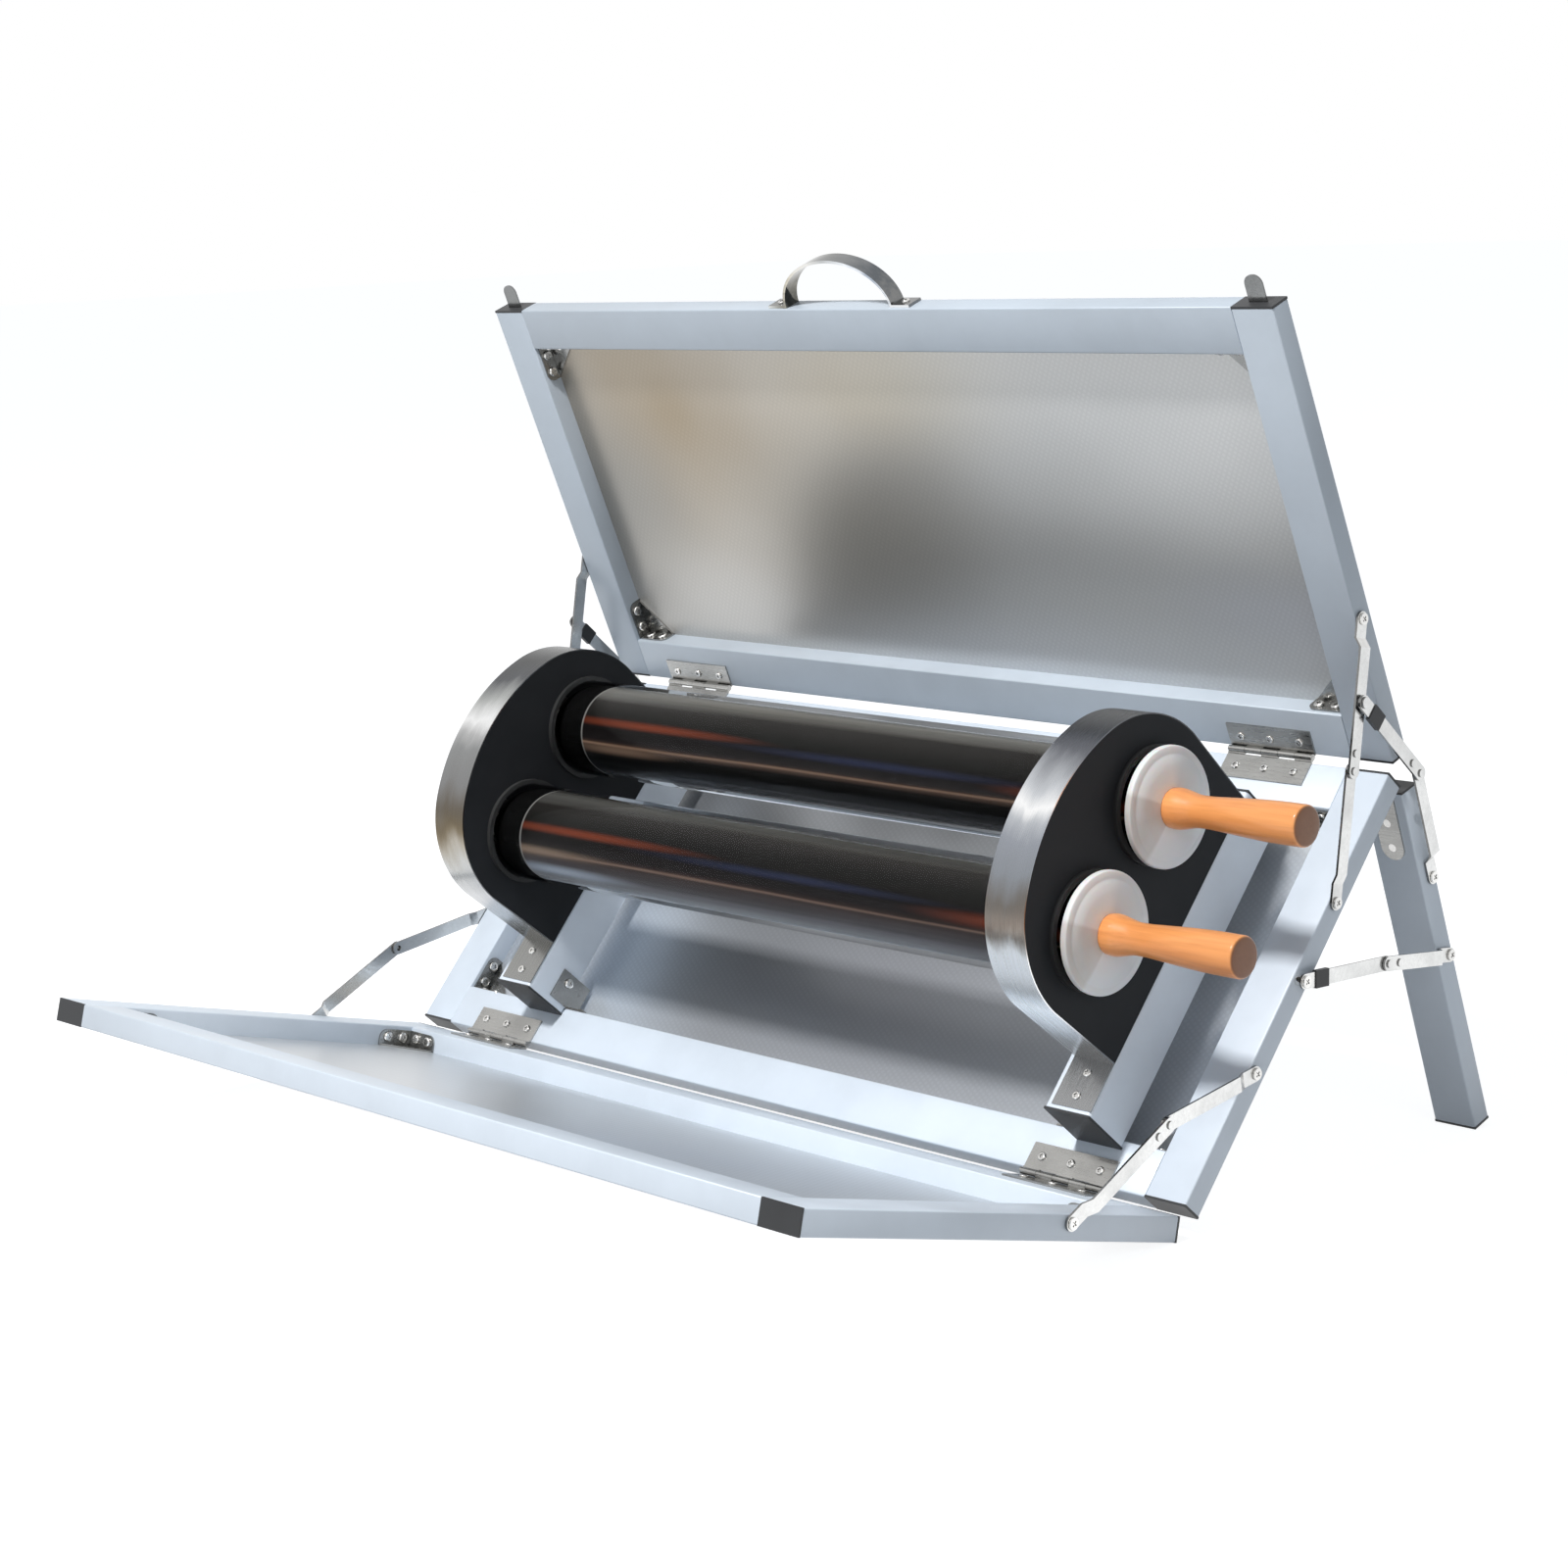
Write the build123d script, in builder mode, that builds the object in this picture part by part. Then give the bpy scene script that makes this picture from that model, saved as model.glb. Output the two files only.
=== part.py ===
# Tube solar oven: three hinged reflector frames round two vacuum cooking tubes, on folding rear legs.
# Millimetres, +Z up, floor at Z = 0, origin under the middle of the bounding box.
# X runs along the tubes, with the wooden handles at +X. The open side of the oven faces -Y.
# Places on the main frame are pairs (v, w): v up along its front face, w out of that face.

import os
from itertools import product
from math import acos, atan2, cos, degrees, hypot, radians, sin, sqrt

from build123d import *

os.makedirs("parts", exist_ok=True)

# Overall sizes of the three frames
frame_width = 940.0
main_height = 392.0
top_height = 395.0
bottom_height = 398.0
rail_width = 40.0
rail_depth = 20.0
rail_wall = 1.5
sheet_thickness = 1.2

# Angles in use, in degrees
main_tilt = 47.8
top_turn = 63.0
bottom_turn = 62.5
leg_turn = 59.6
fold_closed = 61.0

# Gaps and fits
hinge_gap = 8.0
running_gap = 0.3
pin_clearance = 0.05
slide_clearance = 0.4

# End caps of the rails, legs and support tubes
cap_thickness = 2.0
cap_plug_length = 8.0
cap_clearance = 0.2

# Corner brackets inside each frame
bracket_arm = 37.0
bracket_thickness = 1.5
bracket_height = 13.5
bracket_rounding = 8.0
bracket_screw_places = (11.0, 28.0)
bracket_screw_head_radius = 4.6
bracket_screw_head_height = 2.4

# Screws, studs and rivets
screw_head_radius = 3.6
screw_head_height = 1.6
screw_shank_radius = 2.0
screw_grip = 2.0
screw_hole_clearance = 0.15
slot_width = 1.2
slot_depth = 0.8

# Butt hinges of the two folding panels
butt_length = 86.0
butt_leaf_width = 26.0
leaf_thickness = 1.5
barrel_radius = 2.75
butt_pin_radius = 1.5
butt_centre_x = 351.0
barrel_rise = 2.2
knuckle_count = 5
knuckle_gap = 0.3
butt_screw_pitch = 30.0

# Strap hinges of the legs
strap_length = 62.0
strap_width = 22.0
strap_barrel_radius = 2.5
strap_screw_places = (29.0, 51.0)
leg_hinge_inset = 6.0

# Support tubes that carry the housings
support_width = 46.0
support_depth = 50.0
support_wall = 2.0
support_overlap = 8.0
support_past_housing = 8.0

# Angle brackets that hold the support tubes to the cross rails
angle_width = 26.0
angle_reach_low = 28.0
angle_reach_high = 42.0
angle_below = 14.0
angle_above = 24.0

# Housings round the ends of the glass tubes, flush with one face of their support tubes
right_housing_face_x = 390.0
left_housing_face_x = -288.5
housing_depth = 40.0
tab_width = 38.0
housing_height = 185.0
housing_width = 255.0
housing_corner_radius = 92.0
housing_crown_angle = 65.0
housing_base_taper = 5.0
housing_raise = 6.0
band_thickness = 1.0
plate_thickness = 3.0
tab_screw_places = (12.0, 32.0)

# Vacuum tubes
tube_radius = 43.0
glass_wall = 2.2
absorber_radius = 34.0
absorber_wall = 2.0
tube_spacing = 114.0
tube_stand_off = 90.0
mouth_stand_out = 11.0
lip_length = 4.0
dome_end_gap = 4.0
seal_radius = 47.5
seal_length = 4.0
getter_wire_radius = 1.7
getter_ring_radius = 15.0
rest_radius = 20.0
rest_length = 8.0

# Trays with their stoppers and handles
stopper_radius = 48.0
stopper_edge = 6.0
stopper_middle = 9.0
plug_length = 22.0
rod_radius = 3.0
rod_in_handle = 30.0
handle_length = 128.0
handle_root_radius = 16.5
handle_waist_radius = 12.5
handle_waist_place = 27.0
handle_end_radius = 16.5
handle_end_rounding = 4.0
tray_length = 560.0
tray_sheet = 0.8
tray_gap = 0.4
tray_end_rise = 8.0

# Legs
leg_width = 40.0
leg_depth = 20.0

# Folding stays: flat strips with an eye at each end, outside the rails
strip_width = 12.0
strip_thickness = 2.0
stay_inset = 6.5
stud_radius = 2.5
stud_shoulder_radius = 4.2
stud_head_radius = 4.6
knee_head_radius = 3.2
knee_head_height = 1.2
knee_head_pitch = 14.0
joggle_start = 15.0
joggle_length = 7.0
sleeve_length = 16.0
sleeve_place = 12.0
sleeve_wall = 1.0
near_level = 0.4
inner_arm_level = 3.4
outer_arm_level = 5.8
leg_inner_arm_level = 6.0
leg_outer_arm_level = 8.4
tie_inner_arm_level = 7.4
tie_outer_arm_level = 9.8

# Places of the stay pivots, measured along each rail from its hinge end
top_stay_on_main = 274.0
top_stay_on_panel = 127.0
leg_stay_on_main = 203.0
leg_stay_on_leg = 153.5
bottom_stay_on_main = 119.5
bottom_stay_on_panel = 124.5
tie_stay_on_leg = 82.0
leg_pivot_depth = 16.5
tie_stay_on_arm = 65.0

# Carry handle on the top panel
carry_length = 172.0
carry_rise = 44.0
carry_width = 16.0
carry_strip = 2.5
carry_foot = 20.0

# Latches at the free corners of the top panel
tongue_width = 17.0
tongue_thickness = 1.6
tongue_stand_out = 22.0
tongue_inside = 52.0
latch_travel = 14.0
slide_width = 24.0
slide_length = 50.0
slide_height = 6.0
neck_width = 8.0
neck_length = 12.0

# The main frame's plane: origin at the middle of its lower front edge, y up the frame, z out of its front
half_width = frame_width / 2
rail_centre_x = half_width - rail_width / 2
opening_half = half_width - rail_width
tilt = radians(main_tilt)
bottom_along = 180.0 - bottom_turn
leg_along = 180.0 + leg_turn


def step(start, angle, along, left=0.0):
    """The (v, w) place reached from start by going along an angle, and then to its left."""
    a = radians(angle)
    return (
        start[0] + along * cos(a) - left * sin(a),
        start[1] + along * sin(a) + left * cos(a),
    )


def height_of(place):
    """Height of a (v, w) place over the main frame's lower front edge."""
    return place[0] * sin(tilt) + place[1] * cos(tilt)


def depth_of(place):
    """How far a (v, w) place lies behind the main frame's lower front edge."""
    return place[0] * cos(tilt) - place[1] * sin(tilt)


top_start = (main_height + hinge_gap, 0.0)
bottom_start = (-hinge_gap, 0.0)
top_axis = (main_height + hinge_gap / 2, barrel_rise)
bottom_axis = (-hinge_gap / 2, barrel_rise)
strap_offset = strap_barrel_radius + pin_clearance * 4
leg_axis = (main_height - leg_hinge_inset, -(rail_depth + strap_offset))

# The leg is as long as it takes to stand level with the bottom panel's lowest edge
lowest = step(bottom_start, bottom_along, 0, rail_depth)
leg_drop = height_of(leg_axis) - height_of(lowest)
leg_direction_drop = -height_of(step((0, 0), leg_along, 1))
offset_drop = -height_of(step((0, 0), leg_along, 0, strap_offset))
leg_length = (leg_drop - offset_drop) / leg_direction_drop

# The bounding box: handle end and stay heads in X, bottom panel and feet in Y
plate_face_x = right_housing_face_x
mouth_x = plate_face_x + mouth_stand_out
stopper_back_x = mouth_x + slide_clearance
handle_root_x = stopper_back_x + stopper_middle
handle_end_x = handle_root_x + handle_length
stack_height = tie_outer_arm_level + strip_thickness + running_gap + screw_head_height
middle_x = (handle_end_x - half_width - stack_height) / 2
front_corner = step(bottom_start, bottom_along, bottom_height, rail_depth)
foot_corner = step(leg_axis, leg_along, leg_length, strap_offset + leg_depth)
middle_y = (depth_of(front_corner) + depth_of(foot_corner)) / 2

main = Plane(
    origin=(-middle_x, -middle_y, -height_of(lowest)),
    x_dir=(1, 0, 0),
    z_dir=(0, -sin(tilt), cos(tilt)),
)


def folded_plane(start, angle, facing):
    """Plane at a (v, w) place with y along an angle, and z to its left (1) or to its right (-1)."""
    a = radians(angle)
    along = main.y_dir * cos(a) + main.z_dir * sin(a)
    x_dir = main.x_dir * facing
    return Plane(
        origin=main.from_local_coords((0, start[0], start[1])),
        x_dir=x_dir,
        z_dir=x_dir.cross(along),
    )


def local_place(plane, place):
    """The (y, z) of a (v, w) place in a plane that shares the main frame's X direction."""
    local = plane.to_local_coords(main.from_local_coords((0, place[0], place[1])))
    return local.Y, local.Z


def side_plane(x):
    """Plane square to X, with the (v, w) of the main frame as its x and y."""
    return Plane(origin=main.from_local_coords((x, 0, 0)), x_dir=main.y_dir, z_dir=main.x_dir)


top = folded_plane(top_start, top_turn, 1)
bottom = folded_plane(bottom_start, bottom_along, -1)
leg_plane = folded_plane(leg_axis, leg_along, -1)


def save(name, builder):
    """Label a finished piece and write it under its own name."""
    builder.part.label = name
    export_step(builder.part, f"parts/{name}.step")


def make_screw(head_radius, head_height, shank_radius, shank_length):
    """Pan-head screw: head over the XY plane, shank below it, a cross cut in the head."""
    with BuildPart() as screw:
        Cylinder(head_radius, head_height, align=(Align.CENTER, Align.CENTER, Align.MIN))
        fillet(screw.edges().group_by(Axis.Z)[-1], head_height * 0.6)
        Cylinder(shank_radius, shank_length, align=(Align.CENTER, Align.CENTER, Align.MAX))
        with Locations((0, 0, head_height)):
            Box(head_radius, slot_width, 2 * slot_depth, mode=Mode.SUBTRACT)
            Box(slot_width, head_radius, 2 * slot_depth, mode=Mode.SUBTRACT)
    return screw.part


leaf_screw = make_screw(
    screw_head_radius, screw_head_height, screw_shank_radius, leaf_thickness + rail_wall + screw_grip
)
bracket_screw = make_screw(
    bracket_screw_head_radius,
    bracket_screw_head_height,
    screw_shank_radius,
    bracket_thickness + rail_wall + screw_grip,
)
tab_screw = make_screw(
    screw_head_radius, screw_head_height, screw_shank_radius, band_thickness + support_wall + screw_grip
)
screw_hole_radius = screw_shank_radius + screw_hole_clearance
hole_depth = 4 * (rail_wall + leaf_thickness)


def inward(plane, x, y, z, direction):
    """Plane at a place in a frame, with its z along one of the frame's own directions."""
    sideways = plane.z_dir if abs(direction[2]) < 0.5 else plane.x_dir
    z_dir = plane.x_dir * direction[0] + plane.y_dir * direction[1] + plane.z_dir * direction[2]
    return Plane(origin=plane.from_local_coords((x, y, z)), x_dir=sideways, z_dir=z_dir)


def bracket_screw_planes(plane, height):
    """Seats of the bracket screws: a plane on each flange, facing out of the screw's head."""
    seats = []
    z = -rail_depth + sheet_thickness + bracket_thickness + bracket_height / 2
    for side, end in product((1, -1), (1, -1)):
        corner_x = side * opening_half
        corner_y = rail_width if end > 0 else height - rail_width
        for place in bracket_screw_places:
            x, y = corner_x - side * bracket_thickness, corner_y + end * place
            seats.append(inward(plane, x, y, z, (-side, 0, 0)))
            x, y = corner_x - side * place, corner_y + end * bracket_thickness
            seats.append(inward(plane, x, y, z, (0, end, 0)))
    return seats


def butt_screw_planes(plane, edge, direction):
    """Seats of the butt hinge screws along one edge of a frame."""
    y = edge + direction * (butt_leaf_width - hinge_gap / 2) / 2
    return [
        inward(plane, side * butt_centre_x + n * butt_screw_pitch, y, leaf_thickness, (0, 0, 1))
        for side in (1, -1)
        for n in (-1, 0, 1)
    ]


def cut_holes(seats, radius, depth):
    """Cut a hole behind each screw seat in the part that is being built."""
    with Locations(*seats):
        Cylinder(radius, depth, mode=Mode.SUBTRACT)


def make_frame(name, plane, height, hinge_seats, through_seats=()):
    """The rails, reflector and corner brackets that all three frames share."""
    bracket_seats = bracket_screw_planes(plane, height)
    rail_length = height - 2 * cap_thickness
    with BuildPart(plane) as side_rails:
        with Locations((rail_centre_x, height / 2, -rail_depth / 2), (-rail_centre_x, height / 2, -rail_depth / 2)):
            Box(rail_width, rail_length, rail_depth)
            Box(rail_width - 2 * rail_wall, height, rail_depth - 2 * rail_wall, mode=Mode.SUBTRACT)
    with BuildPart() as cut_side_rails:
        add(side_rails.part)
        cut_holes(bracket_seats, screw_hole_radius, hole_depth)
        if name == "top":
            cut_latch_slots(plane, height)
    save(f"{name}_side_rails", cut_side_rails)

    inner_width = 2 * opening_half
    with BuildPart(plane) as cross_rails:
        with Locations((0, rail_width / 2, -rail_depth / 2), (0, height - rail_width / 2, -rail_depth / 2)):
            Box(inner_width, rail_width, rail_depth)
            Box(inner_width, rail_width - 2 * rail_wall, rail_depth - 2 * rail_wall, mode=Mode.SUBTRACT)
    with BuildPart() as cut_cross_rails:
        add(cross_rails.part)
        cut_holes(bracket_seats + hinge_seats, screw_hole_radius, hole_depth)
        if through_seats:
            cut_holes(through_seats, screw_hole_radius, 3 * rail_depth)
    save(f"{name}_cross_rails", cut_cross_rails)

    with BuildPart(plane) as reflector:
        with Locations((0, height / 2, -rail_depth + sheet_thickness / 2)):
            Box(inner_width, height - 2 * rail_width, sheet_thickness)
    save(f"{name}_reflector", reflector)

    web_level = -rail_depth + sheet_thickness
    with BuildPart() as brackets:
        for side, end in product((1, -1), (1, -1)):
            x = side * opening_half
            y = rail_width if end > 0 else height - rail_width
            with BuildSketch(plane.offset(web_level)):
                with BuildLine():
                    Polyline((x, y), (x - side * bracket_arm, y), (x, y + end * bracket_arm), close=True)
                make_face()
            extrude(amount=bracket_thickness)
            corner = plane.from_local_coords((x, y, web_level))
            flange_height = bracket_thickness + bracket_height
            for x_dir, z_dir in (
                (plane.y_dir * end, plane.x_dir * -side),
                (plane.x_dir * -side, plane.y_dir * end),
            ):
                flange = Plane(origin=corner, x_dir=x_dir, z_dir=z_dir)
                rise = 1 if flange.y_dir.dot(plane.z_dir) > 0 else -1
                with BuildSketch(flange):
                    with BuildLine():
                        straight = bracket_arm - bracket_rounding
                        shoulder = rise * (flange_height - bracket_rounding)
                        Polyline((0, rise * flange_height), (0, 0), (bracket_arm, 0), (bracket_arm, shoulder))
                        RadiusArc(
                            (bracket_arm, shoulder), (straight, rise * flange_height), -rise * bracket_rounding
                        )
                        Line((straight, rise * flange_height), (0, rise * flange_height))
                    make_face()
                extrude(amount=bracket_thickness)
        cut_holes(bracket_seats, screw_hole_radius, hole_depth)
    save(f"{name}_corner_brackets", brackets)
    return bracket_seats


def make_caps(plane, centres, width, depth, wall):
    """End caps: each has a flat head and a plug inside the tube. centres holds (x, y, z, inward)."""
    with BuildPart(plane) as caps:
        for x, y, z, direction in centres:
            with Locations((x, y + direction * cap_thickness / 2, z)):
                Box(width, cap_thickness, depth)
            with Locations((x, y + direction * (cap_thickness + cap_plug_length / 2), z)):
                plug_width = width - 2 * (wall + cap_clearance)
                plug_depth = depth - 2 * (wall + cap_clearance)
                Box(plug_width, cap_plug_length, plug_depth)
                Box(plug_width - 4, cap_plug_length, plug_depth - 4, mode=Mode.SUBTRACT)
    return caps.part


def rail_cap_centres(height):
    """Both ends of both side rails."""
    return [
        (side * rail_centre_x, y, -rail_depth / 2, direction)
        for side in (1, -1)
        for y, direction in ((0, 1), (height, -1))
    ]


def cut_latch_slots(plane, height):
    """Slots in the backs of the top panel's side rails, where the latch slides run."""
    slot_length = neck_length + latch_travel + 2 * slide_clearance
    slot_top = height - cap_thickness - cap_plug_length - slide_clearance
    for side in (1, -1):
        place = plane.from_local_coords((side * rail_centre_x, slot_top - slot_length / 2, -rail_depth))
        with Locations(Plane(origin=place, x_dir=plane.x_dir, z_dir=plane.z_dir)):
            Box(neck_width + 2 * slide_clearance, slot_length, 2 * rail_wall + 0.2, mode=Mode.SUBTRACT)


# Main frame, with the screws that go through its cross rails into the support tubes
support_xs = (right_housing_face_x - support_width / 2, left_housing_face_x - support_width / 2)
housing_xs = (right_housing_face_x - housing_depth / 2, left_housing_face_x - housing_depth / 2)
support_screw_v = (rail_width - support_overlap / 2,)
support_seats = [
    inward(main, x + offset, v, -rail_depth, (0, 0, -1))
    for x in support_xs
    for offset in (-support_width / 4, support_width / 4)
    for v in support_screw_v
]
support_screw = make_screw(
    screw_head_radius, screw_head_height, screw_shank_radius, rail_depth + support_wall
)
top_edge_seats = butt_screw_planes(main, main_height, -1)
low_edge_seats = butt_screw_planes(main, 0, 1)

# Angle brackets on the inner side of each support tube: its face in x, and the way to the middle
angle_faces = ((right_housing_face_x - support_width, -1), (left_housing_face_x, 1))
angle_ends = ((rail_width, 1, angle_reach_low), (main_height - rail_width, -1, angle_reach_high))
angle_support_seats, angle_rail_seats = [], []
for (x, way), (v, end, reach) in product(angle_faces, angle_ends):
    seat_x = x + way * bracket_thickness
    seat_v = v + end * (reach - angle_width / 3)
    angle_support_seats.append(inward(main, seat_x, seat_v, angle_above / 2, (way, 0, 0)))
    seat_v = v + end * bracket_thickness
    angle_rail_seats.append(
        inward(main, x + way * angle_width * 0.6, seat_v, -angle_below / 2, (0, end, 0))
    )
main_bracket_seats = make_frame(
    "main", main, main_height, top_edge_seats + low_edge_seats + angle_rail_seats, support_seats
)
with BuildPart(main) as support_brackets:
    for (x, way), (v, end, reach) in product(angle_faces, angle_ends):
        rise = (angle_above - angle_below) / 2
        with Locations((x + way * bracket_thickness / 2, v + end * reach / 2, rise)):
            Box(bracket_thickness, reach, angle_above + angle_below)
        with Locations((x + way * angle_width / 2, v + end * bracket_thickness / 2, -angle_below / 2)):
            Box(angle_width, bracket_thickness, angle_below)
with BuildPart() as cut_support_brackets:
    add(support_brackets.part)
    cut_holes(angle_support_seats + angle_rail_seats, screw_hole_radius, hole_depth)
save("support_brackets", cut_support_brackets)

# Top and bottom panels
top_hinge_seats = butt_screw_planes(top, 0, 1)
top_bracket_seats = make_frame("top", top, top_height, top_hinge_seats)
bottom_hinge_seats = butt_screw_planes(bottom, 0, 1)
bottom_bracket_seats = make_frame("bottom", bottom, bottom_height, bottom_hinge_seats)

# Support tubes on the front of the main frame's cross rails
tube_middle_v = main_height / 2 + housing_raise
housing_low = tube_middle_v - housing_width / 2 + housing_base_taper
housing_high = tube_middle_v + housing_width / 2 - housing_base_taper
support_low = rail_width - support_overlap
support_high = housing_high + support_past_housing
support_middle = (support_low + support_high) / 2
tab_seats = [
    inward(main, x, housing_low - place, support_depth + band_thickness, (0, 0, 1))
    for x in housing_xs
    for place in tab_screw_places
]
with BuildPart(main) as support_tubes:
    with Locations(*[(x, support_middle, support_depth / 2) for x in support_xs]):
        Box(support_width, support_high - support_low - 2 * cap_thickness, support_depth)
        Box(
            support_width - 2 * support_wall,
            main_height,
            support_depth - 2 * support_wall,
            mode=Mode.SUBTRACT,
        )
with BuildPart() as cut_support_tubes:
    add(support_tubes.part)
    cut_holes(tab_seats + angle_support_seats, screw_hole_radius, hole_depth)
    cut_holes(support_seats, screw_hole_radius, 2 * (rail_depth + support_wall) + 1)
save("support_tubes", cut_support_tubes)

support_cap_centres = [
    (x, v, support_depth / 2, direction)
    for x in support_xs
    for v, direction in ((support_low, 1), (support_high, -1))
]
with BuildPart() as main_end_caps:
    add(make_caps(main, rail_cap_centres(main_height), rail_width, rail_depth, rail_wall))
    add(make_caps(main, support_cap_centres, support_width, support_depth, support_wall))
save("main_end_caps", main_end_caps)


def housing_outline(inset):
    """The arch of a housing: tapered sides, a round corner on each, and a wide round crown."""
    v = tube_middle_v
    side = housing_width / 2 - inset
    base = side - housing_base_taper
    radius = housing_corner_radius - inset
    corner_v = housing_width / 2 - housing_corner_radius
    meet = radians(housing_crown_angle)
    crown_to_corner = corner_v / cos(meet)
    crown = support_depth + housing_height - inset
    corner_w = support_depth + housing_height - housing_corner_radius - crown_to_corner * (1 - sin(meet))
    half_v, half_w = corner_v + radius * cos(meet / 2), corner_w + radius * sin(meet / 2)
    meet_v, meet_w = corner_v + radius * cos(meet), corner_w + radius * sin(meet)
    Polyline((v - side, corner_w), (v - base, support_depth), (v + base, support_depth), (v + side, corner_w))
    ThreePointArc((v + side, corner_w), (v + half_v, half_w), (v + meet_v, meet_w))
    ThreePointArc((v + meet_v, meet_w), (v, crown), (v - meet_v, meet_w))
    ThreePointArc((v - meet_v, meet_w), (v - half_v, half_w), (v - side, corner_w))


tube_places = [
    (tube_middle_v + side * tube_spacing / 2, support_depth + tube_stand_off) for side in (1, -1)
]
band_reach = 0.8 * band_thickness
with BuildPart() as housing_bands:
    for x in housing_xs:
        with BuildSketch(side_plane(x - housing_depth / 2)):
            with BuildLine():
                housing_outline(0)
            make_face()
            with BuildLine():
                housing_outline(band_thickness)
            make_face(mode=Mode.SUBTRACT)
        extrude(amount=housing_depth)
        low, high = support_low + 1, housing_low + band_reach
        place = main.from_local_coords((x, (low + high) / 2, support_depth + band_thickness / 2))
        with Locations(Plane(origin=place, x_dir=main.x_dir, z_dir=main.z_dir)):
            Box(tab_width, high - low, band_thickness)
    cut_holes(tab_seats, screw_hole_radius, hole_depth)
save("housing_bands", housing_bands)


def make_plate(x, hole_radius):
    """One side plate of a housing, from x to x plus its thickness, with holes for the tubes."""
    with BuildPart() as plate:
        with BuildSketch(side_plane(x)):
            with BuildLine():
                housing_outline(band_thickness)
            make_face()
            if hole_radius:
                with Locations(*tube_places):
                    Circle(hole_radius, mode=Mode.SUBTRACT)
        extrude(amount=plate_thickness)
    return plate.part


tube_hole_radius = tube_radius + slide_clearance
right_outer_x = right_housing_face_x - plate_thickness
right_inner_x = right_housing_face_x - housing_depth
left_inner_x = left_housing_face_x - plate_thickness
left_outer_x = left_housing_face_x - housing_depth
right_plates = [make_plate(right_outer_x, tube_hole_radius), make_plate(right_inner_x, tube_hole_radius)]
left_plates = [make_plate(left_inner_x, tube_hole_radius), make_plate(left_outer_x, 0)]
with BuildPart() as housing_plates:
    add(right_plates + left_plates)
save("housing_plates", housing_plates)


def tube_plane(place):
    """Plane through a tube's axis, x along the tube and y straight up in the world."""
    origin = main.from_local_coords((0, place[0], place[1]))
    return Plane(origin=origin, x_dir=(1, 0, 0), z_dir=(0, -1, 0))


def ring(place, start, end, inner, outer):
    """A plain ring round a tube's axis."""
    with BuildPart() as made:
        with BuildSketch(tube_plane(place)):
            with Locations(((start + end) / 2, (inner + outer) / 2)):
                Rectangle(abs(end - start), outer - inner)
        revolve(axis=Axis(tube_plane(place).origin, (1, 0, 0)))
    return made.part


seal_bore = tube_radius + pin_clearance
left_face_x = left_inner_x + plate_thickness
seals = [ring(p, plate_face_x, plate_face_x + seal_length, seal_bore, seal_radius) for p in tube_places]
seals += [ring(p, left_face_x, left_face_x + seal_length, seal_bore, tube_radius + 4) for p in tube_places]
with BuildPart() as tube_seals:
    add(seals)
save("tube_seals", tube_seals)


def make_vessel(place, radius, wall, dome_x, open_x, lip_radius):
    """A glass tube with a round closed end on the left, and an inward lip at its mouth if asked."""
    plane = tube_plane(place)
    inner = radius - wall
    mouth_radius = lip_radius if lip_radius else inner
    lip_x = open_x - lip_length if lip_radius else open_x
    half = sqrt(0.5)
    with BuildPart() as vessel:
        with BuildSketch(plane):
            with BuildLine():
                ThreePointArc((dome_x - radius, 0), (dome_x - radius * half, radius * half), (dome_x, radius))
                Line((dome_x, radius), (open_x, radius))
                Line((open_x, radius), (open_x, mouth_radius))
                if lip_radius:
                    Polyline((open_x, mouth_radius), (lip_x, mouth_radius), (lip_x, inner))
                Line((lip_x, inner), (dome_x, inner))
                ThreePointArc((dome_x, inner), (dome_x - inner * half, inner * half), (dome_x - inner, 0))
                Line((dome_x - inner, 0), (dome_x - radius, 0))
            make_face()
        revolve(axis=Axis(plane.origin, (1, 0, 0)))
    return vessel.part


dome_x = left_outer_x + plate_thickness + dome_end_gap + tube_radius
absorber_bore = absorber_radius - absorber_wall
lip_face_x = mouth_x - lip_length
outer_vessels = [make_vessel(p, tube_radius, glass_wall, dome_x, mouth_x, absorber_bore) for p in tube_places]
inner_vessels = [make_vessel(p, absorber_radius, absorber_wall, dome_x, lip_face_x, 0) for p in tube_places]
with BuildPart() as outer_glass_tubes:
    add(outer_vessels)
save("outer_glass_tubes", outer_glass_tubes)
with BuildPart() as inner_absorber_tubes:
    add(inner_vessels)
save("inner_absorber_tubes", inner_absorber_tubes)

# Getter rings between the two domes, and rubber rests behind the outer dome
getter_shell = (tube_radius - glass_wall + absorber_radius) / 2
getter_x = dome_x - sqrt(getter_shell**2 - getter_ring_radius**2)
with BuildPart() as getter_rings:
    for p in tube_places:
        with BuildSketch(tube_plane(p)):
            with Locations((getter_x, getter_ring_radius)):
                Circle(getter_wire_radius)
        revolve(axis=Axis(tube_plane(p).origin, (1, 0, 0)))
save("getter_rings", getter_rings)

rest_start = left_outer_x + plate_thickness
with BuildPart() as tube_end_rests:
    for p in tube_places:
        seat = Plane(origin=main.from_local_coords((rest_start, p[0], p[1])), x_dir=main.y_dir, z_dir=main.x_dir)
        with BuildSketch(seat):
            Circle(rest_radius)
        extrude(amount=rest_length)
        dome = main.from_local_coords((dome_x, p[0], p[1]))
        with Locations(dome):
            Sphere(tube_radius + running_gap, mode=Mode.SUBTRACT)
save("tube_end_rests", tube_end_rests)


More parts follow.
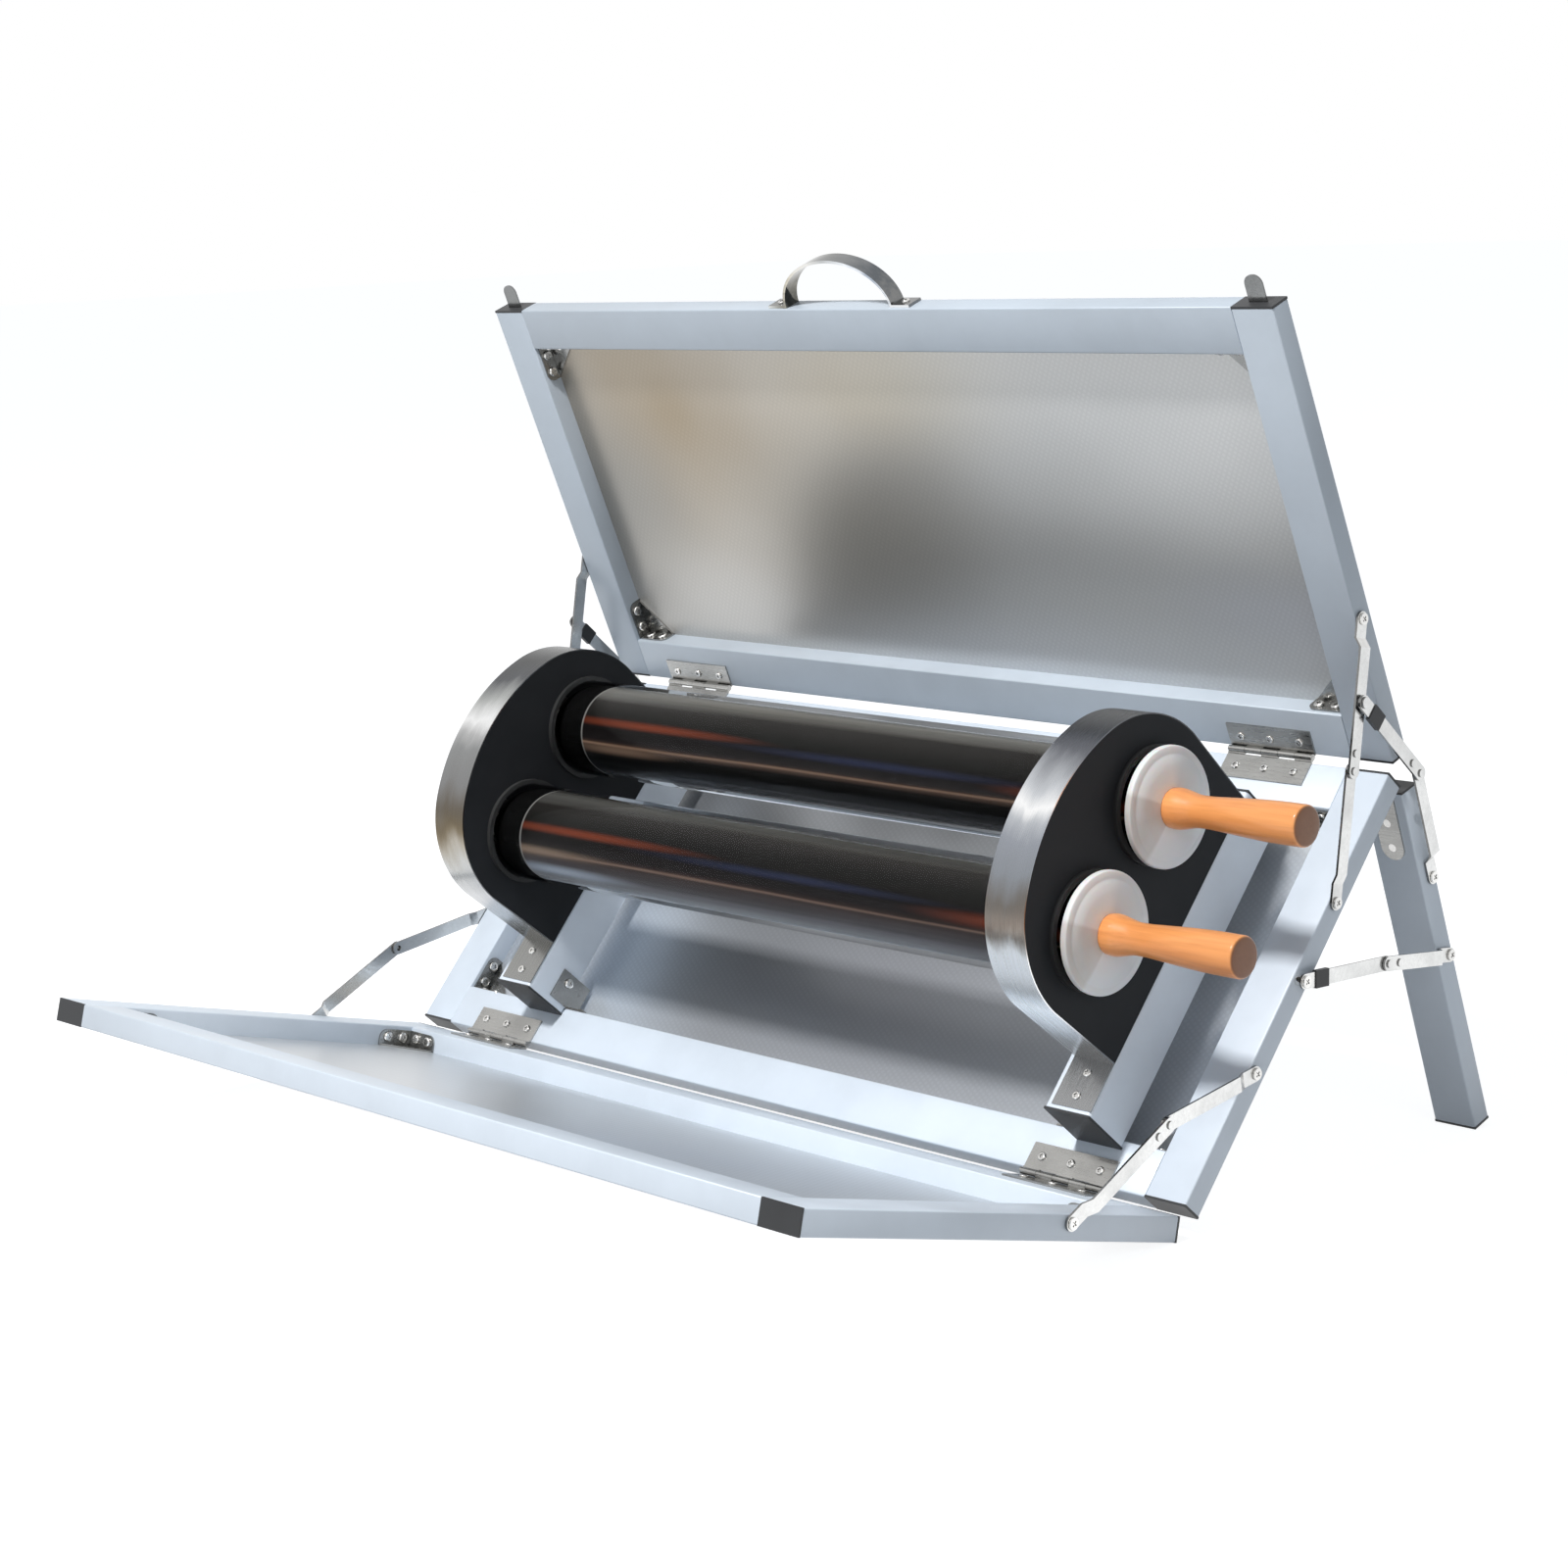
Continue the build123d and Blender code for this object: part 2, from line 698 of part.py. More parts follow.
# Trays: trough, rod, stopper and handle slide out together towards +X
def make_handle(plane):
    """Turned handle: flared root with a bore for the rod, waist, swelling grip and a rounded end."""
    root = handle_root_x
    flare = root + 0.3 * handle_waist_place
    waist = root + handle_waist_place
    swell = root + handle_length * 0.75
    end = root + handle_length
    rounding = handle_end_rounding
    bore = rod_radius + pin_clearance
    bore_end = root + rod_in_handle + 1
    with BuildPart() as handle:
        with BuildSketch(plane):
            with BuildLine():
                Polyline((bore_end, 0), (bore_end, bore), (root, bore), (root, handle_root_radius))
                Line((root, handle_root_radius), (flare, handle_root_radius))
                Spline((flare, handle_root_radius), (waist, handle_waist_radius), tangents=((1, 0), (1, 0)))
                Spline((waist, handle_waist_radius), (swell, handle_end_radius), tangents=((1, 0), (1, 0)))
                Line((swell, handle_end_radius), (end - rounding, handle_end_radius))
                half = rounding * (1 - sqrt(0.5))
                ThreePointArc(
                    (end - rounding, handle_end_radius),
                    (end - half, handle_end_radius - half),
                    (end, handle_end_radius - rounding),
                )
                Polyline((end, handle_end_radius - rounding), (end, 0), (bore_end, 0))
            make_face()
        revolve(axis=Axis(plane.origin, (1, 0, 0)))
    return handle


def make_stopper(plane):
    """Soft stopper: a plug in the tube's mouth, a coned flange in front and a hole for the rod."""
    plug_radius = absorber_bore - running_gap
    hole = rod_radius + pin_clearance
    plug_x = stopper_back_x - plug_length
    edge_x = stopper_back_x + stopper_edge
    with BuildPart() as stopper:
        with BuildSketch(plane):
            with BuildLine():
                Polyline(
                    (plug_x, hole),
                    (plug_x, plug_radius),
                    (stopper_back_x, plug_radius),
                    (stopper_back_x, stopper_radius),
                    (edge_x, stopper_radius),
                    (handle_root_x, handle_root_radius + 4),
                    (handle_root_x, hole),
                    close=True,
                )
            make_face()
        revolve(axis=Axis(plane.origin, (1, 0, 0)))
    return stopper


tray_radius = absorber_bore - tray_gap
tray_high_x = stopper_back_x - plug_length - 2
tray_low_x = tray_high_x - tray_length
tray_end_thickness = 1.2


def make_tray(place):
    """Trough under the tube's axis with a plate at each end."""
    section = Plane(
        origin=main.from_local_coords((tray_low_x, place[0], place[1])), x_dir=(0, 1, 0), z_dir=(1, 0, 0)
    )
    with BuildPart() as tray:
        with BuildSketch(section):
            Circle(tray_radius)
            Circle(tray_radius - tray_sheet, mode=Mode.SUBTRACT)
            with Locations((0, tray_radius)):
                Rectangle(2 * tray_radius, 2 * tray_radius, mode=Mode.SUBTRACT)
        extrude(amount=tray_length)
        for start in (0, tray_length - tray_end_thickness):
            with BuildSketch(section.offset(start)):
                Circle(tray_radius)
                with Locations((0, tray_end_rise + tray_radius)):
                    Rectangle(2 * tray_radius, 2 * tray_radius, mode=Mode.SUBTRACT)
            extrude(amount=tray_end_thickness)
    return tray


def make_rod(place):
    """Steel rod from the tray's end plate, through the stopper and into the handle."""
    start = main.from_local_coords((tray_high_x, place[0], place[1]))
    with BuildPart() as rod:
        with Locations(Plane(origin=start, x_dir=(0, 1, 0), z_dir=(1, 0, 0))):
            length = handle_root_x + rod_in_handle - tray_high_x
            Cylinder(rod_radius, length, align=(Align.CENTER, Align.CENTER, Align.MIN))
    return rod


for tray_name, tray_place in zip(("upper", "lower"), tube_places):
    save(f"{tray_name}_handle", make_handle(tube_plane(tray_place)))
    save(f"{tray_name}_stopper", make_stopper(tube_plane(tray_place)))
    save(f"{tray_name}_tray", make_tray(tray_place))
    save(f"{tray_name}_rod", make_rod(tray_place))


# Butt hinges
def make_butt_leaves(plane, axis_place, edge, direction, knuckles):
    """Leaves on one edge of a frame, with the knuckles that belong to them."""
    axis_y, axis_z = local_place(plane, axis_place)
    reach = abs(axis_y - edge)
    far = edge + direction * (butt_leaf_width - hinge_gap / 2)
    knuckle_length = butt_length / knuckle_count
    seats = butt_screw_planes(plane, edge, direction)
    with BuildPart(plane) as leaves:
        for side in (1, -1):
            x = side * butt_centre_x
            with Locations((x, (edge + far) / 2, leaf_thickness / 2)):
                Box(butt_length, abs(far - edge), leaf_thickness)
            for n in knuckles:
                knuckle_x = x + (n - (knuckle_count - 1) / 2) * knuckle_length
                width = knuckle_length - knuckle_gap
                with Locations((knuckle_x, axis_y, axis_z)):
                    Cylinder(barrel_radius, width, rotation=(0, 90, 0))
                web_y = edge if reach > barrel_radius else edge + direction * barrel_radius
                with Locations((knuckle_x, (axis_y + web_y) / 2, axis_z / 2)):
                    Box(width, max(abs(web_y - axis_y), leaf_thickness), axis_z)
            with Locations((x, axis_y, axis_z)):
                bore = butt_pin_radius + pin_clearance
                Cylinder(bore, butt_length, rotation=(0, 90, 0), mode=Mode.SUBTRACT)
    with BuildPart() as cut_leaves:
        add(leaves.part)
        cut_holes(seats, screw_hole_radius, hole_depth)
    return cut_leaves.part


main_knuckles = range(0, knuckle_count, 2)
panel_knuckles = range(1, knuckle_count, 2)
with BuildPart() as main_hinge_leaves:
    add(make_butt_leaves(main, top_axis, main_height, -1, main_knuckles))
    add(make_butt_leaves(main, bottom_axis, 0, 1, main_knuckles))
save("main_hinge_leaves", main_hinge_leaves)
with BuildPart() as top_hinge_leaves:
    add(make_butt_leaves(top, top_axis, 0, 1, panel_knuckles))
save("top_hinge_leaves", top_hinge_leaves)
with BuildPart() as bottom_hinge_leaves:
    add(make_butt_leaves(bottom, bottom_axis, 0, 1, panel_knuckles))
save("bottom_hinge_leaves", bottom_hinge_leaves)


# Strap hinges of the legs: leaves lie on the back of the main frame and on the front of the legs
def make_straps(plane, direction, level, knuckles):
    """Pair of strap leaves along a rail or leg, from the hinge axis at the plane's own origin."""
    knuckle_length = strap_width / 3
    round_centre = strap_length - strap_width / 2
    with BuildPart() as straps:
        for side in (1, -1):
            x = side * rail_centre_x
            with BuildSketch(plane.offset(level)):
                with Locations((x, direction * round_centre / 2)):
                    Rectangle(strap_width, round_centre)
                with Locations((x, direction * round_centre)):
                    Circle(strap_width / 2)
            extrude(amount=leaf_thickness)
            with Locations(plane.location):
                with Locations((x, 0, 0)):
                    Cylinder(
                        strap_barrel_radius + pin_clearance * 4,
                        strap_width + 1,
                        rotation=(0, 90, 0),
                        mode=Mode.SUBTRACT,
                    )
            for n in knuckles:
                with Locations(plane.location):
                    with Locations((x + n * knuckle_length, 0, 0)):
                        Cylinder(strap_barrel_radius, knuckle_length - knuckle_gap, rotation=(0, 90, 0))
                    near = strap_barrel_radius + 2
                    with Locations((x + n * knuckle_length, direction * near / 2, level + leaf_thickness / 2)):
                        Box(knuckle_length - knuckle_gap, near, leaf_thickness)
            with Locations(plane.location):
                with Locations((x, 0, 0)):
                    bore = butt_pin_radius + pin_clearance
                    Cylinder(bore, strap_width + 1, rotation=(0, 90, 0), mode=Mode.SUBTRACT)
    return straps


strap_plane = Plane(origin=main.from_local_coords((0, *leg_axis)), x_dir=main.x_dir, z_dir=main.z_dir)
main_strap_level = strap_offset - leaf_thickness
main_strap_seats = [
    inward(strap_plane, side * rail_centre_x, -place, main_strap_level, (0, 0, -1))
    for side in (1, -1)
    for place in strap_screw_places
]
leg_strap_level = -strap_offset
leg_strap_seats = [
    inward(leg_plane, side * rail_centre_x, place, leg_strap_level + leaf_thickness, (0, 0, 1))
    for side in (1, -1)
    for place in strap_screw_places
]
main_straps = make_straps(strap_plane, -1, main_strap_level, (-1, 1))
leg_straps = make_straps(leg_plane, 1, leg_strap_level, (0,))
flush_hole_radius = screw_head_radius + screw_hole_clearance
with BuildPart() as leg_hinge_main_leaves:
    add(main_straps.part)
    cut_holes(main_strap_seats, flush_hole_radius, 3 * leaf_thickness)
save("leg_hinge_main_leaves", leg_hinge_main_leaves)
with BuildPart() as leg_hinge_leaves:
    add(leg_straps.part)
    cut_holes(leg_strap_seats, flush_hole_radius, 3 * leaf_thickness)
save("leg_hinge_leaves", leg_hinge_leaves)

with BuildPart() as hinge_pins:
    for axis_place, xs, length in (
        (top_axis, (butt_centre_x, -butt_centre_x), butt_length),
        (bottom_axis, (butt_centre_x, -butt_centre_x), butt_length),
        (leg_axis, (rail_centre_x, -rail_centre_x), strap_width),
    ):
        for x in xs:
            place = main.from_local_coords((x, *axis_place))
            with Locations(Plane(origin=place, x_dir=main.y_dir, z_dir=main.x_dir)):
                Cylinder(butt_pin_radius, length)
save("hinge_pins", hinge_pins)

# Rear legs
leg_body_length = leg_length - 2 * cap_thickness
leg_middle_z = -strap_offset - leg_depth / 2
with BuildPart(leg_plane) as leg_tubes:
    with Locations(*[(side * rail_centre_x, leg_length / 2, leg_middle_z) for side in (1, -1)]):
        Box(leg_width, leg_body_length, leg_depth)
        Box(leg_width - 2 * rail_wall, leg_length, leg_depth - 2 * rail_wall, mode=Mode.SUBTRACT)
save("rear_legs", leg_tubes)
leg_cap_centres = [
    (side * rail_centre_x, y, leg_middle_z, direction)
    for side in (1, -1)
    for y, direction in ((0, 1), (leg_length, -1))
]
with BuildPart() as leg_caps:
    add(make_caps(leg_plane, leg_cap_centres, leg_width, leg_depth, rail_wall))
save("leg_caps", leg_caps)

# Pivots of the stays, as (v, w) places of the main frame
top_pivot_main = (top_stay_on_main, -stay_inset)
top_pivot_panel = step(top_start, top_turn, top_stay_on_panel, -stay_inset)
leg_pivot_main = (leg_stay_on_main, -stay_inset)
leg_pivot_leg = step(leg_axis, leg_along, leg_stay_on_leg, leg_pivot_depth)
bottom_pivot_main = (bottom_stay_on_main, -stay_inset)
bottom_pivot_panel = step(bottom_start, bottom_along, bottom_stay_on_panel, stay_inset)
tie_pivot_leg = step(leg_axis, leg_along, tie_stay_on_leg, leg_pivot_depth)


def between(start, end, share, bow):
    """A knee at a share of the way from start to end, bowed to the left of that way."""
    angle = degrees(atan2(end[1] - start[1], end[0] - start[0]))
    return step(start, angle, share * hypot(end[0] - start[0], end[1] - start[1]), bow)


def direction(start, end):
    """Angle of the way from start to end, in degrees."""
    return degrees(atan2(end[1] - start[1], end[0] - start[0]))


def distance(start, end):
    """Length of the way from start to end."""
    return hypot(end[0] - start[0], end[1] - start[1])


top_knee = between(top_pivot_main, top_pivot_panel, 0.465, 0.0)
leg_knee = between(leg_pivot_main, leg_pivot_leg, 0.525, 3.4)
bottom_knee = between(bottom_pivot_main, bottom_pivot_panel, 0.485, -17.5)
tie_pivot_arm = step(top_pivot_panel, direction(top_pivot_panel, top_knee), tie_stay_on_arm)
tie_knee = between(tie_pivot_arm, tie_pivot_leg, 0.51, 24.8)


def arm_plane(start, end, side):
    """Plane of a stay arm on one side of the oven: x along the arm, z outwards."""
    a = radians(direction(start, end))
    along = main.y_dir * cos(a) + main.z_dir * sin(a)
    origin = main.from_local_coords((side * half_width, start[0], start[1]))
    return Plane(origin=origin, x_dir=along, z_dir=main.x_dir * side)


def make_arm(start, end, side, start_level, end_level, heads, carries=None):
    """One arm: a flat strip from pivot to knee, joggled where its two ends lie at different levels."""
    plane = arm_plane(start, end, side)
    length = distance(start, end)
    reach = strip_width / 2
    edge_view = Plane(origin=plane.origin, x_dir=plane.x_dir, z_dir=-plane.y_dir)
    bend_start = joggle_start if end_level != start_level else length / 2
    bend_end = bend_start + joggle_length
    with BuildPart() as arm:
        with BuildSketch(edge_view):
            with BuildLine():
                Polyline(
                    (-reach, start_level),
                    (bend_start, start_level),
                    (bend_end, end_level),
                    (length + reach, end_level),
                    (length + reach, end_level + strip_thickness),
                    (bend_end, end_level + strip_thickness),
                    (bend_start, start_level + strip_thickness),
                    (-reach, start_level + strip_thickness),
                    close=True,
                )
            make_face()
        extrude(amount=reach, both=True)
        with BuildSketch(plane):
            with Locations((length / 2, 0)):
                SlotCenterToCenter(length, strip_width)
            Circle(stud_radius + pin_clearance, mode=Mode.SUBTRACT)
            if not heads:
                with Locations((length, 0)):
                    Circle(stud_radius + pin_clearance, mode=Mode.SUBTRACT)
        extrude(amount=stack_height + reach, mode=Mode.INTERSECT)
        top_level = end_level + strip_thickness
        for place in (length, length - knee_head_pitch) if heads else ():
            with BuildSketch(plane.offset(top_level)):
                with Locations((place, 0)):
                    Circle(knee_head_radius)
            extrude(amount=knee_head_height)
        if carries:
            carried_at, carried_level = carries
            with BuildSketch(plane.offset(top_level)):
                with Locations((carried_at, 0)):
                    Circle(stud_shoulder_radius)
            extrude(amount=carried_level - top_level - running_gap)
            with BuildSketch(plane.offset(top_level)):
                with Locations((carried_at, 0)):
                    Circle(stud_radius)
            extrude(amount=carried_level + strip_thickness + running_gap - top_level)
            with BuildSketch(plane.offset(carried_level + strip_thickness + running_gap)):
                with Locations((carried_at, 0)):
                    Circle(stud_head_radius)
            extrude(amount=screw_head_height)
    return arm.part


def save_arms(name, start, end, start_level, end_level, heads, carries=None):
    """Write the left and right arms of one kind, which turn together."""
    arms = [make_arm(start, end, side, start_level, end_level, heads, carries) for side in (1, -1)]
    with BuildPart() as both_arms:
        add(arms)
    save(name, both_arms)


def save_sleeves(name, start, end, level):
    """Write the dark sleeves round the left and right arms of one kind."""
    with BuildPart() as sleeves:
        for side in (1, -1):
            plane = arm_plane(start, end, side)
            middle = sleeve_place + sleeve_length / 2
            section = Plane(
                origin=plane.from_local_coords((sleeve_place, 0, level + strip_thickness / 2)),
                x_dir=plane.y_dir,
                z_dir=plane.x_dir,
            )
            with BuildSketch(section):
                Rectangle(strip_width + 2 * sleeve_wall, strip_thickness + 2 * sleeve_wall)
                Rectangle(
                    strip_width + 2 * pin_clearance, strip_thickness + 2 * pin_clearance, mode=Mode.SUBTRACT
                )
            extrude(amount=sleeve_length)
    save(name, sleeves)


save_arms("top_stay_lower_arms", top_pivot_main, top_knee, near_level, inner_arm_level, False)
save_arms(
    "top_stay_upper_arms",
    top_pivot_panel,
    top_knee,
    near_level,
    outer_arm_level,
    True,
    (tie_stay_on_arm, tie_outer_arm_level),
)
save_arms("tie_stay_upper_arms", tie_pivot_arm, tie_knee, tie_outer_arm_level, tie_outer_arm_level, True)
save_arms("tie_stay_lower_arms", tie_pivot_leg, tie_knee, near_level, tie_inner_arm_level, False)
save_arms("leg_stay_main_arms", leg_pivot_main, leg_knee, leg_inner_arm_level, leg_inner_arm_level, False)
save_arms("leg_stay_leg_arms", leg_pivot_leg, leg_knee, near_level, leg_outer_arm_level, True)
save_arms("bottom_stay_main_arms", bottom_pivot_main, bottom_knee, near_level, inner_arm_level, False)
save_arms("bottom_stay_panel_arms", bottom_pivot_panel, bottom_knee, near_level, outer_arm_level, True)
save_sleeves("tie_stay_sleeves", tie_pivot_arm, tie_knee, tie_outer_arm_level)
save_sleeves("leg_stay_sleeves", leg_pivot_main, leg_knee, leg_inner_arm_level)


def make_studs(place, level):
    """Studs on the outer faces of the rails or legs that carry an arm at the given level."""
    head_level = level + strip_thickness + running_gap
    with BuildPart() as studs:
        for side in (1, -1):
            plane = arm_plane(place, step(place, 0, 1), side)
            with BuildSketch(plane):
                Circle(stud_radius)
            extrude(amount=head_level)
            if level > 1:
                with BuildSketch(plane):
                    Circle(stud_shoulder_radius)
                extrude(amount=level - running_gap)
            with BuildSketch(plane.offset(head_level)):
                Circle(stud_head_radius)
            extrude(amount=screw_head_height)
            with Locations(plane.offset(head_level + screw_head_height)):
                Box(2 * stud_radius, slot_width, 2 * slot_depth, mode=Mode.SUBTRACT)
                Box(slot_width, 2 * stud_radius, 2 * slot_depth, mode=Mode.SUBTRACT)
    return studs.part


def place_screws(screw, seats):
    """Put a copy of a screw on each seat."""
    with Locations(*seats):
        add(screw)


with BuildPart() as main_fasteners:
    place_screws(leaf_screw, top_edge_seats + low_edge_seats)
    place_screws(bracket_screw, main_bracket_seats + angle_support_seats + angle_rail_seats)
    place_screws(tab_screw, tab_seats)
    place_screws(support_screw, support_seats)
    for seat in main_strap_seats:
        with Locations(seat.offset(-leaf_thickness)):
            Cylinder(screw_head_radius, leaf_thickness, align=(Align.CENTER, Align.CENTER, Align.MIN))
    add(make_studs(top_pivot_main, near_level))
    add(make_studs(leg_pivot_main, leg_inner_arm_level))
    add(make_studs(bottom_pivot_main, near_level))
save("main_fasteners", main_fasteners)

with BuildPart() as leg_fasteners:
    for seat in leg_strap_seats:
        with Locations(seat.offset(-leaf_thickness)):
            Cylinder(screw_head_radius, leaf_thickness, align=(Align.CENTER, Align.CENTER, Align.MIN))
    add(make_studs(leg_pivot_leg, near_level))
    add(make_studs(tie_pivot_leg, near_level))
save("leg_fasteners", leg_fasteners)

with BuildPart() as bottom_fasteners:
    place_screws(leaf_screw, bottom_hinge_seats)
    place_screws(bracket_screw, bottom_bracket_seats)
    add(make_studs(bottom_pivot_panel, near_level))
save("bottom_fasteners", bottom_fasteners)

# Carry handle: a bowed strip on the top panel's free edge
carry_foot_centre = carry_length / 2 - carry_foot / 2
carry_seats = [
    inward(top, side * carry_foot_centre, top_height + carry_strip, -rail_depth / 2, (0, 1, 0))
    for side in (1, -1)
]
arch_half = carry_length / 2 - carry_foot
bow_plane = Plane(
    origin=top.from_local_coords((0, top_height, -rail_depth / 2)), x_dir=top.x_dir, z_dir=-top.z_dir
)
bow_sign = 1 if bow_plane.y_dir.dot(top.y_dir) > 0 else -1
with BuildPart() as carry_handle:
    with BuildSketch(bow_plane):
        for rise, reach, mode in (
            (carry_rise, arch_half, Mode.ADD),
            (carry_rise - carry_strip, arch_half - carry_strip, Mode.SUBTRACT),
        ):
            Ellipse(reach, rise, mode=mode)
        with Locations((0, -bow_sign * carry_rise)):
            Rectangle(2 * carry_length, 2 * carry_rise, mode=Mode.SUBTRACT)
        for side in (1, -1):
            foot_reach = carry_foot + carry_strip
            with Locations((side * (carry_length / 2 - foot_reach / 2), bow_sign * carry_strip / 2)):
                Rectangle(foot_reach, carry_strip)
    extrude(amount=carry_width / 2, both=True)
    cut_holes(carry_seats, screw_hole_radius, hole_depth)
save("carry_handle", carry_handle)

with BuildPart() as top_fasteners:
    place_screws(leaf_screw, top_hinge_seats)
    place_screws(bracket_screw, top_bracket_seats)
    for seat in carry_seats:
        with Locations(seat):
            add(make_screw(screw_head_radius, screw_head_height, screw_shank_radius, carry_strip))
    add(make_studs(top_pivot_panel, near_level))
save("top_fasteners", top_fasteners)

# Latches: a steel tongue inside each side rail, moved by a slide on the rail's back
tongue_middle_z = -rail_depth / 2
tongue_low = top_height - tongue_inside
tongue_high = top_height + tongue_stand_out
neck_top = top_height - cap_thickness - cap_plug_length - 2 * slide_clearance
back_level = -rail_depth - running_gap
for latch_name, side in (("right", 1), ("left", -1)):
    x = side * rail_centre_x
    with BuildPart(top) as tongue:
        with Locations((x, (tongue_low + tongue_high) / 2, tongue_middle_z)):
            Box(tongue_width, tongue_high - tongue_low, tongue_thickness)
        tip_corners = tongue.edges().filter_by(Axis((0, 0, 0), top.z_dir)).sort_by(Axis((0, 0, 0), top.y_dir))[-2:]
        fillet(tip_corners, tongue_width * 0.46)
    save(f"{latch_name}_latch_tongue", tongue)
    with BuildPart(top) as slide:
        with Locations((x, neck_top - neck_length / 2 - slide_length / 4, back_level - slide_height / 2)):
            Box(slide_width, slide_length, slide_height)
        fillet(slide.edges().filter_by(Axis((0, 0, 0), top.z_dir)), 3)
        neck_rise = tongue_middle_z - tongue_thickness / 2 - back_level
        with Locations((x, neck_top - neck_length / 2, back_level + neck_rise / 2)):
            Box(neck_width, neck_length, neck_rise)
    save(f"{latch_name}_latch_slide", slide)

# Caps of the two panels; the top panel's outer caps let the latch tongues through
with BuildPart() as top_end_caps:
    add(make_caps(top, rail_cap_centres(top_height), rail_width, rail_depth, rail_wall))
    for side in (1, -1):
        place = top.from_local_coords((side * rail_centre_x, top_height, tongue_middle_z))
        with Locations(Plane(origin=place, x_dir=top.x_dir, z_dir=top.z_dir)):
            Box(
                tongue_width + 2 * slide_clearance,
                4 * (cap_thickness + cap_plug_length),
                tongue_thickness + 2 * slide_clearance,
                mode=Mode.SUBTRACT,
            )
save("top_end_caps", top_end_caps)
with BuildPart() as bottom_end_caps:
    add(make_caps(bottom, rail_cap_centres(bottom_height), rail_width, rail_depth, rail_wall))
save("bottom_end_caps", bottom_end_caps)
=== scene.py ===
# %% [markdown]
# # A tube solar oven, step by step
# Three flat frames with bright sheets in them stand round two dark vacuum tubes. Two D-shaped
# housings hold the tubes, a white stopper and a wooden handle close each one, and flat steel
# stays hold the panels and the rear legs. This lesson dresses the oven for a studio picture:
# each step says what the real piece is, how it could be made, and why this way was chosen.

import bmesh
import bpy
import numpy as np
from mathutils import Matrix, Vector


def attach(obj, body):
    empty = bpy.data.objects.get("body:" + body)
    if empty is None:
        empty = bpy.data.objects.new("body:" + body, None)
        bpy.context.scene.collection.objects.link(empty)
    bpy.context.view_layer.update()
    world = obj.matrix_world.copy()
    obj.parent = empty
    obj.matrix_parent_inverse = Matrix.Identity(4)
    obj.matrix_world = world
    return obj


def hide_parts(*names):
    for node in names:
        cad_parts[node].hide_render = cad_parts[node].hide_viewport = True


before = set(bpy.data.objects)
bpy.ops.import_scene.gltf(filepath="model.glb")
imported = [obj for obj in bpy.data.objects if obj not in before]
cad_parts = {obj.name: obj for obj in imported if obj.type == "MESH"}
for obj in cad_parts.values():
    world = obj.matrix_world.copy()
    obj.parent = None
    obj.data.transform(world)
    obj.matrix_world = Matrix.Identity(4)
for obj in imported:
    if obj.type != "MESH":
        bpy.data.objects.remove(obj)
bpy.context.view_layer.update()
print("nodes loaded:", len(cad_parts))

# %% [markdown]
# ## Camera
# The photograph looks at the oven from its right front, a little from above, with a long lens.
# A camera could be aimed by eye; here its place and turn come from the corners of the three
# frames, which are right-angled, so that every edge falls where it does in the photograph.

# %% Camera
camera_data = bpy.data.cameras.new("studio_camera")
camera_data.lens = 75.12
camera_data.sensor_width = 36.0
camera_data.shift_y = -0.125
camera = bpy.data.objects.new("studio_camera", camera_data)
bpy.context.collection.objects.link(camera)
camera.location = (1.98850, -1.82374, 0.78408)
camera.rotation_euler = (1.453208, 0.040410, 0.815353)
bpy.context.scene.camera = camera

# %% [markdown]
# ## Places on the oven
# Every frame leans, so a place on it is easiest to say in the frame's own directions: across
# (x), along from its hinge end (s) and out of its bright side (n), in millimetres. One function
# turns the main frame's numbers into the room's metres, and a panel is the same thing turned
# about the hinge line.

# %% Places
MAIN_LEAN = 47.8
TOP_TURN, BOTTOM_TURN, LEG_TURN = 63, 117.5, 239.6
LEG_BACK = -22.7
TILT = np.radians(MAIN_LEAN)
ORIGIN = np.array([-27.35, 2.327, 25.272])


def oven(x, v, w):
    """Room place of main frame numbers: x across, v up the frame, w out of it (mm to m)."""
    x, v, w = np.broadcast_arrays(*(np.asarray(t, dtype=float) for t in (x, v, w)))
    y = v * np.cos(TILT) - w * np.sin(TILT)
    z = v * np.sin(TILT) + w * np.cos(TILT)
    return np.stack([ORIGIN[0] + x, ORIGIN[1] + y, ORIGIN[2] + z], axis=-1) / 1000


def panel(v0, w0, turn, side):
    """A folded frame's own numbers: along a line at turn degrees, n to its left (1) or right (-1)."""
    a = np.radians(turn)

    def place(x, s, n):
        s, n = np.asarray(s, dtype=float), np.asarray(n, dtype=float) * side
        return oven(x, v0 + s * np.cos(a) - n * np.sin(a), w0 + s * np.sin(a) + n * np.cos(a))

    return place


top = panel(400, 0, TOP_TURN, 1)
bottom = panel(-8, 0, BOTTOM_TURN, -1)
leg = panel(386, LEG_BACK, LEG_TURN, -1)
print("top panel's free edge:", top(0, 395, 0).round(3))

# %% [markdown]
# ## From arrays to pieces
# A surface is worked out as a grid of points, one whole array at a time. The grid's cells are
# the faces. Welding closes seams and poles, and edges sharper than 40 degrees stay crisp.

# %% Grids and pieces
CREASE = 40.0


def grid_faces(rows, columns):
    """Corner numbers of each cell, the columns closing in a ring: corner, along, across, back."""
    r = np.arange(rows - 1)[:, None]
    c = np.arange(columns)[None, :]
    r2, c2 = r + 1, (c + 1) % columns
    cells = [r * columns + c, r * columns + c2, r2 * columns + c2, r2 * columns + c]
    return np.stack(np.broadcast_arrays(*cells), axis=-1).reshape(-1, 4)


